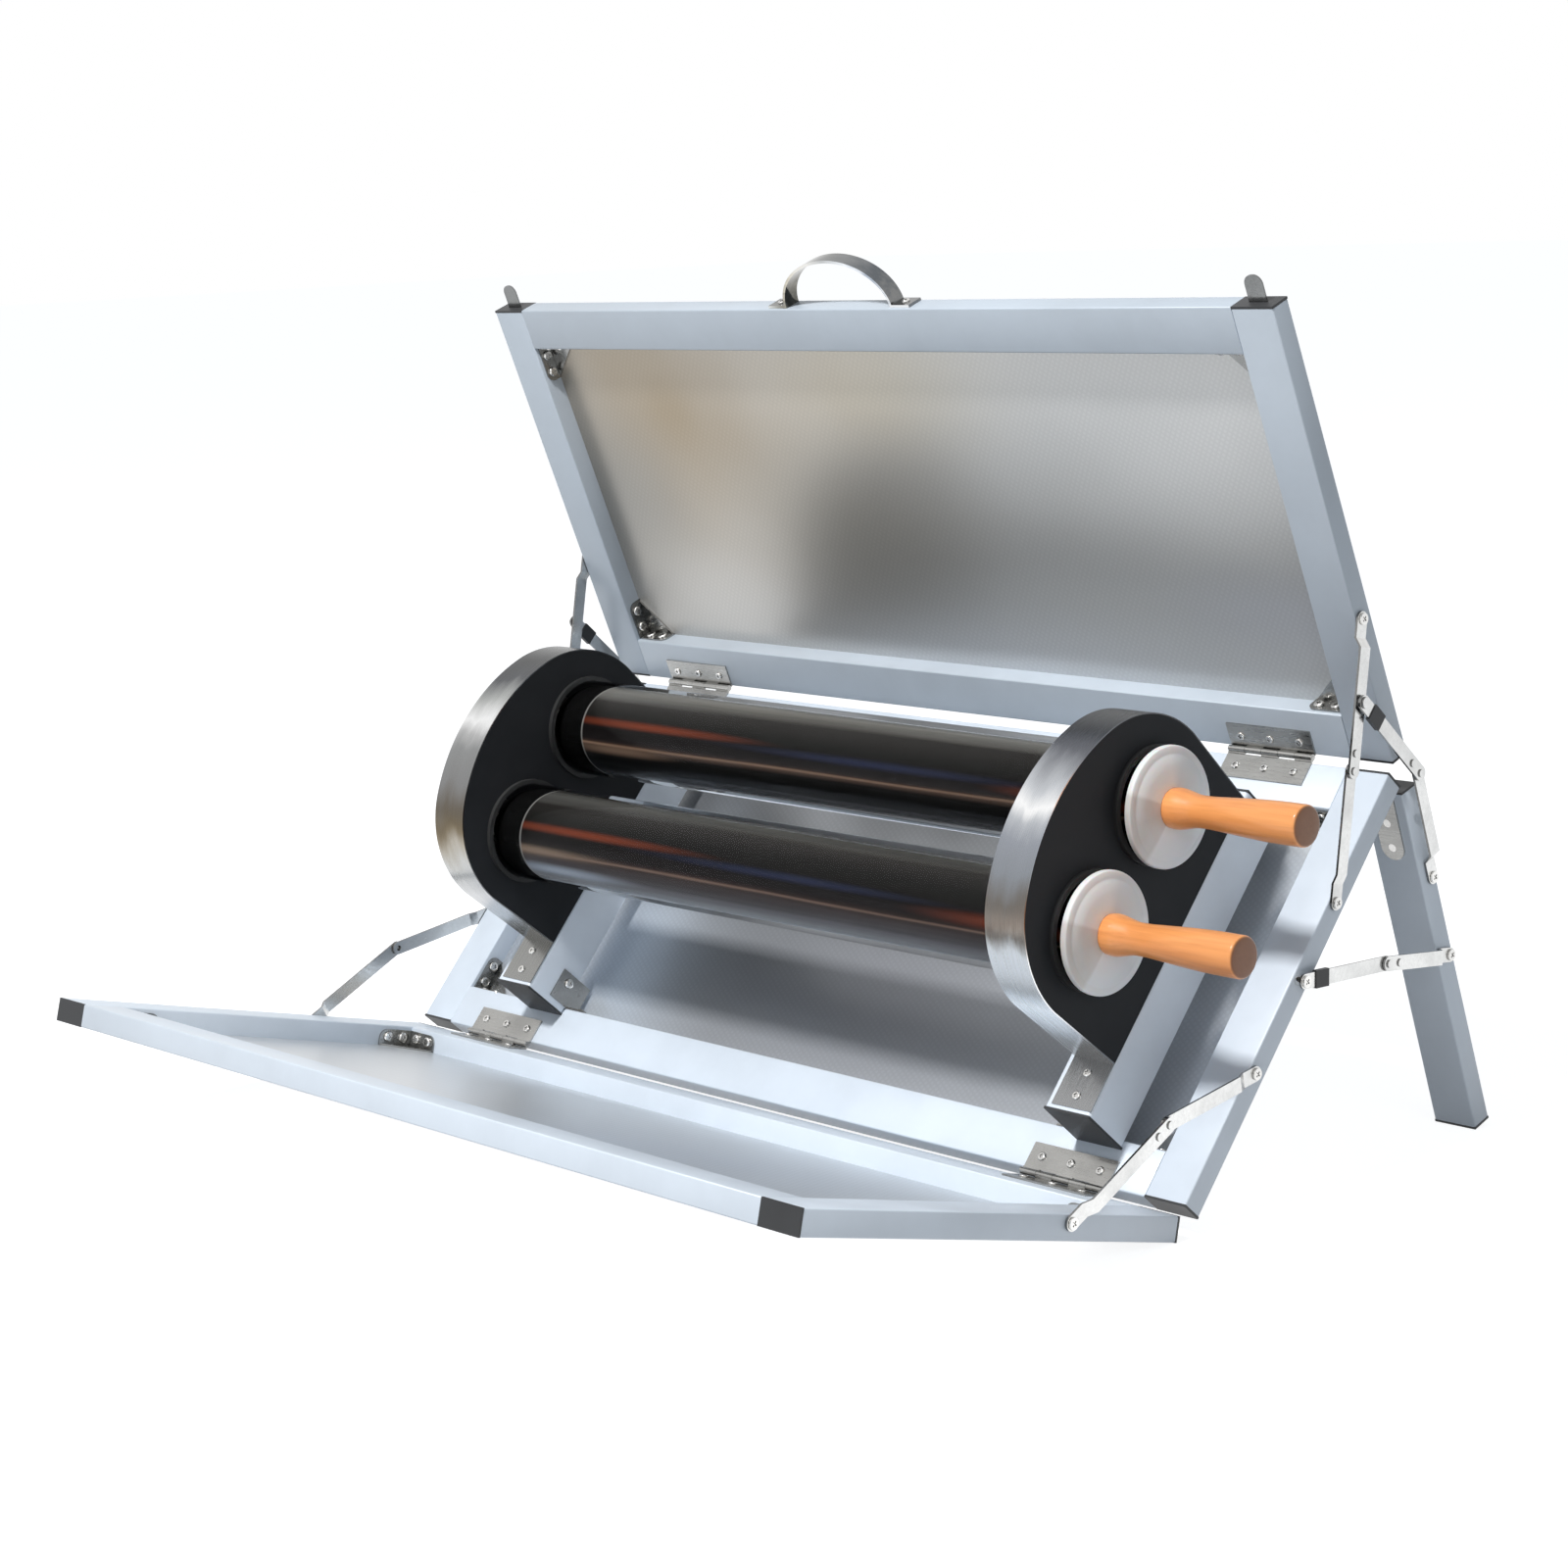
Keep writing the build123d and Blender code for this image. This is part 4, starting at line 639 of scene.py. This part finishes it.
def band_finish(name, stops):
    """Brushed strip: fine lines along the strip, and painted reflections as zones of tone by the place along
    it.
    """
    finish = Finish(name, metallic=1.0)
    lines = finish.noise(finish.turned((0, 0, 0), (1500, 4, 4)), 1.0, 4.0, 0.6)
    centre = oven(0, BAND_MIDDLE, BAND_HEART)
    local = finish.add("ShaderNodeMapping", Vector=finish.coords)
    local.inputs["Location"].default_value = (0, -centre[1], -centre[2])
    turn = finish.add("ShaderNodeMapping", Vector=local.outputs["Vector"])
    turn.inputs["Rotation"].default_value = (0, np.radians(90), 0)
    around = finish.add("ShaderNodeTexGradient", gradient_type="RADIAL", Vector=turn.outputs["Vector"])
    clouds = finish.noise(finish.turned((0, 0, 0), (3, 1, 1)), 14.0, 3.0)
    mixed = finish.add("ShaderNodeMath", operation="ADD")
    finish.tree.links.new(around.outputs["Fac"], mixed.inputs[0])
    finish.tree.links.new(finish.number(clouds, -0.012, 0.012, 0.3, 0.7), mixed.inputs[1])
    tone = finish.ramp(mixed.outputs[0], stops)
    dark = finish.blend(0.35, tone, (0.15, 0.15, 0.15))
    finish.set(
        Base_Color=finish.blend(finish.number(lines, 0.0, 0.45, 0.3, 0.7), tone, dark),
        Roughness=finish.number(lines, 0.18, 0.32, 0.3, 0.7),
    )
    finish.bump(lines, 0.00004, 0.5)
    return finish.material


# Painted reflections and highlights on the bands, by the angle round the housing
RIGHT_STRIP_REFLECTIONS = [
    (0.000, (0.28, 0.285, 0.29)),
    (0.070, (0.34, 0.345, 0.35)),
    (0.090, (0.55, 0.57, 0.60)),
    (0.136, (0.88, 0.90, 0.92)),
    (0.182, (0.97, 0.98, 0.99)),
    (0.206, (0.95, 0.95, 0.94)),
    (0.222, (0.32, 0.285, 0.25)),
    (0.232, (0.20, 0.165, 0.14)),
    (0.252, (0.17, 0.155, 0.14)),
    (0.282, (0.27, 0.29, 0.32)),
    (0.319, (0.31, 0.33, 0.37)),
    (0.342, (0.50, 0.52, 0.55)),
    (0.358, (0.95, 0.95, 0.95)),
    (0.380, (0.58, 0.60, 0.63)),
    (0.434, (0.14, 0.147, 0.168)),
    (0.500, (0.11, 0.113, 0.12)),
]
LEFT_STRIP_REFLECTIONS = [
    (0.000, (0.28, 0.28, 0.27)),
    (0.070, (0.34, 0.34, 0.33)),
    (0.090, (0.50, 0.51, 0.52)),
    (0.136, (0.52, 0.52, 0.53)),
    (0.182, (0.50, 0.50, 0.49)),
    (0.206, (0.36, 0.33, 0.28)),
    (0.222, (0.18, 0.145, 0.095)),
    (0.229, (0.13, 0.10, 0.06)),
    (0.252, (0.15, 0.13, 0.105)),
    (0.282, (0.25, 0.25, 0.25)),
    (0.319, (0.29, 0.295, 0.295)),
    (0.340, (0.50, 0.50, 0.50)),
    (0.358, (0.92, 0.92, 0.92)),
    (0.396, (0.44, 0.45, 0.44)),
    (0.434, (0.10, 0.104, 0.112)),
    (0.480, (0.06, 0.062, 0.062)),
]
right_brushed = band_finish("right_brushed_band", RIGHT_STRIP_REFLECTIONS)
left_brushed = band_finish("left_brushed_band", LEFT_STRIP_REFLECTIONS)
right_strip, left_strip = [band(*RIGHT_BAND)], [band(*LEFT_BAND)]
make_piece("right_strip", right_strip, "main_frame", right_brushed, ["housing_bands"])
make_piece("left_strip", left_strip, "main_frame", left_brushed, ["housing_bands"])

# %% [markdown]
# ## Vacuum tubes
# Each tube is clear glass over a dark coated tube. Everything turned about the tube's axis is
# one profile, (place along the tube, radius), spun round it: place plus radius times cosine and
# sine. The glass is a real shell with an inner and an outer wall, so it bends the light a
# little at its edges, and the dark tube's long streaks are painted reflections, tones set by
# height and length.

# %% Turned pieces
TUBES = {"upper": (259.0, 140.0), "lower": (145.0, 140.0)}


def turned(profile, centre, steps=96):
    """Spin a profile of (x, radius) round a tube's axis."""
    profile = np.asarray(profile, dtype=float)
    angle = np.linspace(0, 2 * np.pi, steps, endpoint=False)
    x = profile[:, :1] + 0 * angle
    v = centre[0] + profile[:, 1:] * np.cos(angle)
    w = centre[1] + profile[:, 1:] * np.sin(angle)
    return oven(x, v, w), grid_faces(len(profile), steps)


def arc(centre, radius, start, end, steps=12):
    """Points on part of a circle, angles in degrees."""
    a = np.radians(np.linspace(start, end, steps))
    return np.stack([centre[0] + radius * np.cos(a), centre[1] + radius * np.sin(a)], axis=-1)


GLASS_RADIUS, GLASS_WALL, GLASS_END, LIP_START = 43.0, 2.2, 401.0, 397.0
LIP_ROUNDING, COATED_RADIUS, COATED_BORE = 1.4, 34.0, 32.0
PLATE, DOME_GAP = 3, 4
DOME_X = LEFT_BAND[0] + PLATE + DOME_GAP + GLASS_RADIUS
glass_profile = np.concatenate(
    [
        arc((DOME_X, 0), GLASS_RADIUS, 180, 90, 24),
        arc((GLASS_END - LIP_ROUNDING, GLASS_RADIUS - LIP_ROUNDING), LIP_ROUNDING, 90, 0, 5),
        [[GLASS_END, COATED_BORE + 0.6], [GLASS_END - 0.6, COATED_BORE]],
        [[LIP_START, COATED_BORE], [LIP_START, GLASS_RADIUS - GLASS_WALL]],
        arc((DOME_X, 0), GLASS_RADIUS - GLASS_WALL, 90, 180, 24),
    ]
)
absorber_profile = np.concatenate(
    [
        arc((DOME_X, 0), COATED_RADIUS, 180, 90, 24),
        [[LIP_START - 0.1, COATED_RADIUS], [LIP_START - 0.1, COATED_BORE]],
        arc((DOME_X, 0), COATED_BORE, 90, 180, 24),
    ]
)

# %% Glass and coating


def glass_finish():
    """Clear glass with faint waves; shadow, diffuse and glossy rays pass as if it were air."""
    finish = Finish("clear_glass", roughness=0.0, colour=(0.98, 0.99, 1.0))
    finish.set(Transmission_Weight=1.0, IOR=1.08)
    film = finish.noise(finish.turned((0, 0, 0), (6, 60, 60)), 1.0, 4.0)
    finish.bump(film, 0.0004, 0.15)
    path = finish.add("ShaderNodeLightPath")
    share = path.outputs["Is Shadow Ray"]
    for name in ("Is Diffuse Ray", "Is Glossy Ray"):
        larger = finish.add("ShaderNodeMath", operation="MAXIMUM")
        finish.tree.links.new(share, larger.inputs[0])
        finish.tree.links.new(path.outputs[name], larger.inputs[1])
        share = larger.outputs[0]
    mixed = finish.add("ShaderNodeMixShader")
    clear = finish.add("ShaderNodeBsdfTransparent")
    finish.tree.links.new(share, mixed.inputs[0])
    finish.tree.links.new(finish.shader.outputs[0], mixed.inputs[1])
    finish.tree.links.new(clear.outputs[0], mixed.inputs[2])
    finish.tree.links.new(mixed.outputs[0], finish.tree.nodes["Material Output"].inputs["Surface"])
    return finish.material


def coating_finish(name, centre, stops, end_reflections, middle):
    """Dark coating with painted reflections: tone by height round the axis, warm streaks at both ends, a blue
    one between.
    """
    finish = Finish(name)
    finish.set(Specular_IOR_Level=0.07)
    axis = oven(0, *centre)
    local = finish.add("ShaderNodeMapping", Vector=finish.coords)
    local.inputs["Location"].default_value = (0, -axis[1], -axis[2])
    parts = finish.add("ShaderNodeSeparateXYZ", Vector=local.outputs["Vector"])
    drift = finish.noise(finish.turned((0, 0, 0), (1.6, 30, 30)), 1.0, 3.0)
    height = finish.add("ShaderNodeMath", operation="ADD")
    finish.tree.links.new(finish.number(parts.outputs["Z"], 0.0, 1.0, -0.034, 0.034), height.inputs[0])
    finish.tree.links.new(finish.number(drift, -0.025, 0.025, 0.3, 0.7), height.inputs[1])
    tone = finish.ramp(height.outputs[0], stops)
    streaks = finish.noise(finish.turned((0, 0, 0), (1.2, 160, 160)), 1.0, 3.0, 0.5)
    tone = finish.blend(finish.number(streaks, 0.0, 0.30, 0.4, 0.7), tone, (0.010, 0.009, 0.009))
    # Each spot is a painted reflection on the coating
    for centre_x, centre_z, size, colour in (*end_reflections, middle):
        share = finish.spot(local.outputs["Vector"], (centre_x, 0, centre_z), size)
        tone = finish.blend(share, tone, colour)
    start = float(oven(COATING_START, 0, 0)[0])
    # Painted highlight: a pale ring where the coating starts
    painted_ring_highlight = finish.number(parts.outputs["X"], 0.8, 0.0, start, start + 0.002)
    tone = finish.blend(painted_ring_highlight, tone, (0.30, 0.29, 0.27))
    bare_end = finish.number(parts.outputs["X"], 1.0, 0.0, start - 0.001, start)
    tone = finish.blend(bare_end, tone, (0.004, 0.004, 0.004))
    finish.set(Base_Color=tone, Roughness=finish.number(streaks, 0.16, 0.24, 0.3, 0.7))
    return finish.material


# The coating's own near black in the middle, with painted reflections towards the bottom and top and a warm
# painted streak
UPPER_COAT_AND_REFLECTION_TONES = [
    (0.00, (0.10, 0.10, 0.105)),
    (0.10, (0.028, 0.028, 0.030)),
    (0.22, (0.012, 0.012, 0.012)),
    (0.36, (0.010, 0.009, 0.009)),
    (0.415, (0.085, 0.055, 0.040)),
    (0.440, (0.27, 0.165, 0.110)),
    (0.465, (0.045, 0.028, 0.022)),
    (0.50, (0.012, 0.010, 0.010)),
    (0.62, (0.006, 0.005, 0.005)),
    (0.78, (0.010, 0.010, 0.009)),
    (0.92, (0.022, 0.020, 0.018)),
    (1.00, (0.16, 0.155, 0.14)),
]
LOWER_COAT_AND_REFLECTION_TONES = [
    (0.00, (0.42, 0.44, 0.48)),
    (0.06, (0.20, 0.205, 0.215)),
    (0.18, (0.115, 0.105, 0.108)),
    (0.30, (0.065, 0.055, 0.055)),
    (0.385, (0.050, 0.038, 0.035)),
    (0.410, (0.20, 0.13, 0.10)),
    (0.435, (0.035, 0.024, 0.022)),
    (0.48, (0.012, 0.010, 0.010)),
    (0.60, (0.006, 0.005, 0.005)),
    (0.80, (0.010, 0.010, 0.009)),
    (0.95, (0.022, 0.020, 0.018)),
    (1.00, (0.09, 0.088, 0.080)),
]
COATING_START = -256.0
# Colours of the painted reflections on the coating
WARM_REFLECTION, COOL_REFLECTION, PALE_REFLECTION = (0.16, 0.034, 0.015), (0.018, 0.022, 0.046), (0.36, 0.40, 0.46)
upper_end_reflections = [
    (-0.195, 0.014, (0.19, 0.2, 0.0050), WARM_REFLECTION),
    (0.345, 0.004, (0.15, 0.2, 0.0080), WARM_REFLECTION),
    (-0.235, -0.010, (0.10, 0.2, 0.0060), (0.20, 0.13, 0.09)),
]
lower_end_reflections = [
    (-0.205, 0.014, (0.21, 0.2, 0.0050), WARM_REFLECTION),
    (0.345, 0.002, (0.17, 0.2, 0.0090), WARM_REFLECTION),
    (-0.265, -0.006, (0.14, 0.2, 0.0065), (0.20, 0.14, 0.10)),
    (-0.235, -0.022, (0.13, 0.2, 0.0075), PALE_REFLECTION),
]
upper_blue_reflection = (0.09, 0.009, (0.24, 0.2, 0.0050), COOL_REFLECTION)
lower_blue_reflection = (0.06, 0.009, (0.24, 0.2, 0.0050), COOL_REFLECTION)
clear_glass = glass_finish()
make_piece(
    "glass_tubes",
    [turned(glass_profile, centre, 128) for centre in TUBES.values()],
    "main_frame",
    clear_glass,
    ["outer_glass_tubes"],
)
absorber_parts = {name: turned(absorber_profile, centre, 96) for name, centre in TUBES.items()}
make_piece(
    "upper_coated_tube",
    [absorber_parts["upper"]],
    "main_frame",
    coating_finish("upper_coating", TUBES["upper"], UPPER_COAT_AND_REFLECTION_TONES, upper_end_reflections, upper_blue_reflection),
    ["inner_absorber_tubes"],
)
make_piece(
    "lower_coated_tube",
    [absorber_parts["lower"]],
    "main_frame",
    coating_finish("lower_coating", TUBES["lower"], LOWER_COAT_AND_REFLECTION_TONES, lower_end_reflections, lower_blue_reflection),
    ["inner_absorber_tubes"],
)

# %% [markdown]
# ## Stoppers
# A stopper is soft milky silicone: a plug in the mouth of the tube and a shallow cone in front.
# Light enters it and comes out again, so the finish has some subsurface, with faint blue
# clouds and broad wedges of painted light and shade round its axis.

# %% Stoppers
MOUTH, ROD_BORE = 401.4, 3.05
stopper_profile = np.concatenate(
    [
        [[MOUTH - 22, ROD_BORE], [MOUTH - 22, 30.0]],
        arc((MOUTH - 20.5, 30.2), 1.5, 180, 90, 5),
        [[MOUTH - 0.2, 31.7], [MOUTH, 33.0], [MOUTH, 46.6]],
        arc((MOUTH + 1.4, 46.6), 1.4, 180, 90, 5),
        arc((MOUTH + 4.0, 46.0), 2.0, 90, 25, 6),
        [[MOUTH + 6.2, 42.4], [MOUTH + 6.3, 41.2], [MOUTH + 7.0, 40.4]],
        [[MOUTH + 8.2, 30.0], [MOUTH + 8.8, 22.0], [MOUTH + 9.0, 18.0], [MOUTH + 9.0, ROD_BORE]],
    ]
)


def stopper_finish(name, centre):
    """Milky silicone: wedges of painted light and shade round the axis, and faint bluish clouds."""
    finish = Finish(name, roughness=0.42)
    middle = oven(0, *centre)
    local = finish.add("ShaderNodeMapping", Vector=finish.coords)
    local.inputs["Location"].default_value = (0, -middle[1], -middle[2])
    turn = finish.add("ShaderNodeMapping", Vector=local.outputs["Vector"])
    turn.inputs["Rotation"].default_value = (0, np.radians(90), 0)
    wedge = finish.add("ShaderNodeTexGradient", gradient_type="RADIAL", Vector=turn.outputs["Vector"])
    # Painted light and shade: lighter and darker wedges round the axis
    tone = finish.ramp(
        wedge.outputs["Fac"],
        [
            (0.00, (0.82, 0.84, 0.86)),
            (0.10, (0.86, 0.87, 0.87)),
            (0.115, (0.70, 0.68, 0.65)),
            (0.22, (0.62, 0.585, 0.545)),
            (0.30, (0.67, 0.63, 0.59)),
            (0.315, (0.88, 0.865, 0.83)),
            (0.50, (0.93, 0.915, 0.88)),
            (0.56, (0.80, 0.80, 0.79)),
            (0.72, (0.86, 0.86, 0.85)),
            (0.735, (0.92, 0.92, 0.91)),
            (0.90, (0.78, 0.79, 0.80)),
            (1.00, (0.82, 0.84, 0.86)),
        ],
    )
    clouds = finish.noise(finish.turned(), 60.0, 3.0)
    finish.set(
        Base_Color=finish.blend(finish.number(clouds, 0.0, 0.25, 0.3, 0.8), tone, (0.82, 0.85, 0.89)),
        Subsurface_Weight=0.25,
        Subsurface_Scale=0.006,
    )
    finish.bump(finish.noise(finish.turned(), 400.0, 2.0), 0.0001, 0.3)
    return finish.material


for name, centre in TUBES.items():
    make_piece(
        name + "_silicone_stopper",
        [turned(stopper_profile, centre)],
        name + "_tray",
        stopper_finish(name + "_silicone", centre),
        [name + "_stopper"],
    )

# %% [markdown]
# ## Wooden handles
# The handles are turned from a warm orange wood and varnished: a thick root, a narrow waist, a
# swelling grip and a flat end with a rounded rim. A smooth curve through those sizes gives the
# profile, and the grain is a noise drawn out along the handle, darker on the end face.

# %% Handles
HANDLE_ROOT, GRIP_LENGTH = MOUTH + 9.0, 125.0


def handle_profile():
    """Radius along the handle, a smooth curve through root, waist and grip, and a flat end."""
    place = np.array([0.0, 4.0, 8.0, 16.0, 25.0, 34.0, 50.0, 70.0, 92.0, 112.0, 125.0])
    radius = np.array([15.6, 16.2, 16.1, 14.6, 12.9, 12.6, 13.4, 14.7, 15.8, 16.2, 16.2])
    x = np.linspace(0, GRIP_LENGTH, 72)
    slope = np.gradient(radius, place)
    k = np.clip(np.searchsorted(place, x, side="right") - 1, 0, len(place) - 2)
    h = place[k + 1] - place[k]
    t = (x - place[k]) / h
    smooth = (2 * t**3 - 3 * t**2 + 1) * radius[k] + (t**3 - 2 * t**2 + t) * h * slope[k]
    smooth += (3 * t**2 - 2 * t**3) * radius[k + 1] + (t**3 - t**2) * h * slope[k + 1]
    body = np.stack([HANDLE_ROOT + x, smooth], axis=-1)
    end = arc((HANDLE_ROOT + GRIP_LENGTH, 13.4), 2.8, 80, 4, 8)
    bore = [[HANDLE_ROOT + 30, 0.0], [HANDLE_ROOT + 30, ROD_BORE], [HANDLE_ROOT, ROD_BORE]]
    face = [[HANDLE_ROOT + 127.9, 8.0], [HANDLE_ROOT + 128.0, 0.0]]
    return np.concatenate([bore, body, end, face])


def wood_finish():
    """Varnished wood: fine pores and long grain along the handle under a clear coat."""
    finish = Finish("varnished_wood", roughness=0.34)
    grain = finish.noise(finish.turned((0, 0, 0), (9, 260, 260)), 1.0, 5.0, 0.6)
    bands_noise = finish.noise(finish.turned((0, 0, 0), (3, 40, 40)), 1.0, 3.0)
    pores = finish.noise(finish.turned((0, 0, 0), (60, 1500, 1500)), 1.0, 2.0)
    stops = [(0.30, (0.84, 0.305, 0.085)), (0.55, (0.95, 0.395, 0.13)), (0.75, (0.97, 0.46, 0.18))]
    tone = finish.ramp(bands_noise, stops)
    fine = finish.blend(finish.number(grain, 0.0, 0.45, 0.42, 0.7), tone, (0.60, 0.20, 0.055))
    end = finish.add("ShaderNodeSeparateXYZ", Vector=finish.coords)
    end_x = float(oven(HANDLE_ROOT + 126.5, 0, 0)[0])
    end_share = finish.number(end.outputs["X"], 0.0, 0.85, end_x, end_x + 0.001)
    finish.set(
        Base_Color=finish.blend(end_share, fine, (0.13, 0.042, 0.012)),
        Coat_Weight=0.45,
        Coat_Roughness=0.12,
        Specular_IOR_Level=0.3,
    )
    finish.bump(pores, 0.00012, 0.4)
    return finish.material


varnished_wood = wood_finish()
for name, centre in TUBES.items():
    make_piece(
        name + "_wooden_handle",
        [turned(handle_profile(), centre)],
        name + "_tray",
        varnished_wood,
        [name + "_handle"],
    )

# %% [markdown]
# ## Room
# A pale floor, one high lamp in front of the open side, a weaker and softer one from the right,
# and an even world. The background is white because the floor and the world say so to the
# camera, not because more light is poured on the oven.

# %% Floor, lamps and world


def background_share(tree):
    """1 for camera, mirror and glass rays, 0 for the rays that light the oven."""
    path = tree.nodes.new("ShaderNodeLightPath")
    share = path.outputs["Is Camera Ray"]
    for name in ("Is Glossy Ray", "Is Transmission Ray"):
        larger = tree.nodes.new("ShaderNodeMath")
        larger.operation = "MAXIMUM"
        tree.links.new(share, larger.inputs[0])
        tree.links.new(path.outputs[name], larger.inputs[1])
        share = larger.outputs[0]
    return share


def make_floor():
    """A wide square on the floor that reads as white paper and keeps the oven's shadow."""
    signs = np.array([(-1, -1, 0), (1, -1, 0), (-1, 1, 0), (1, 1, 0)])
    mesh = bpy.data.meshes.new("studio_floor")
    mesh.from_pydata((FLOOR_HALF * signs).tolist(), [], [[0, 1, 3, 2]])
    floor = bpy.data.objects.new("studio_floor", mesh)
    bpy.context.collection.objects.link(floor)
    material = bpy.data.materials.new("studio_floor")
    material.use_nodes = True
    tree = material.node_tree
    shader = tree.nodes["Principled BSDF"]
    shader.inputs["Base Color"].default_value = (FLOOR_TONE, FLOOR_TONE, FLOOR_TONE, 1)
    shader.inputs["Roughness"].default_value = 1.0
    shader.inputs["Specular IOR Level"].default_value = 0.0
    glow = tree.nodes.new("ShaderNodeEmission")
    glow.inputs["Color"].default_value = (1, 1, 1, 1)
    lift = tree.nodes.new("ShaderNodeMath")
    lift.operation = "MULTIPLY"
    lift.inputs[1].default_value = FLOOR_LIFT
    tree.links.new(background_share(tree), lift.inputs[0])
    tree.links.new(lift.outputs[0], glow.inputs["Strength"])
    both = tree.nodes.new("ShaderNodeAddShader")
    tree.links.new(shader.outputs[0], both.inputs[0])
    tree.links.new(glow.outputs[0], both.inputs[1])
    tree.links.new(both.outputs[0], tree.nodes["Material Output"].inputs["Surface"])
    mesh.materials.append(material)


def make_lamp(name, place, aim, size, power):
    """A square soft lamp at a place, turned towards another place."""
    data = bpy.data.lights.new(name, "AREA")
    data.size = size
    data.energy = power
    lamp = bpy.data.objects.new(name, data)
    lamp.location = place
    lamp.rotation_euler = (Vector(aim) - Vector(place)).to_track_quat("-Z", "Y").to_euler()
    bpy.context.collection.objects.link(lamp)


def make_world():
    """Even light on the oven; camera, mirror and glass rays see a white room."""
    world = bpy.data.worlds.new("studio_world")
    bpy.context.scene.world = world
    world.use_nodes = True
    tree = world.node_tree
    strength = tree.nodes.new("ShaderNodeMapRange")
    strength.inputs["To Min"].default_value = WORLD_LIGHT
    strength.inputs["To Max"].default_value = 1.0
    tree.links.new(background_share(tree), strength.inputs["Value"])
    tree.links.new(strength.outputs["Result"], tree.nodes["Background"].inputs["Strength"])
    sky = tree.nodes.new("ShaderNodeMix")
    sky.data_type = "RGBA"
    sky.inputs[6].default_value = (*SKY_TINT, 1)
    sky.inputs[7].default_value = (1, 1, 1, 1)
    tree.links.new(background_share(tree), sky.inputs[0])
    tree.links.new(sky.outputs[2], tree.nodes["Background"].inputs["Color"])


FLOOR_HALF, FLOOR_TONE, FLOOR_LIFT = 30.0, 0.55, 0.86
WORLD_LIGHT = 0.28
SKY_TINT = (0.80, 0.90, 1.0)
make_floor()
LAMP_AIM = (0, 0, 0.3)
make_lamp("key_lamp", place=(0.05, -2.28, 3.53), aim=LAMP_AIM, size=0.40, power=144)
make_lamp("right_lamp", place=(2.8, -1.0, 1.5), aim=LAMP_AIM, size=1.6, power=8)
make_world()
bpy.context.scene.view_settings.view_transform = "Standard"
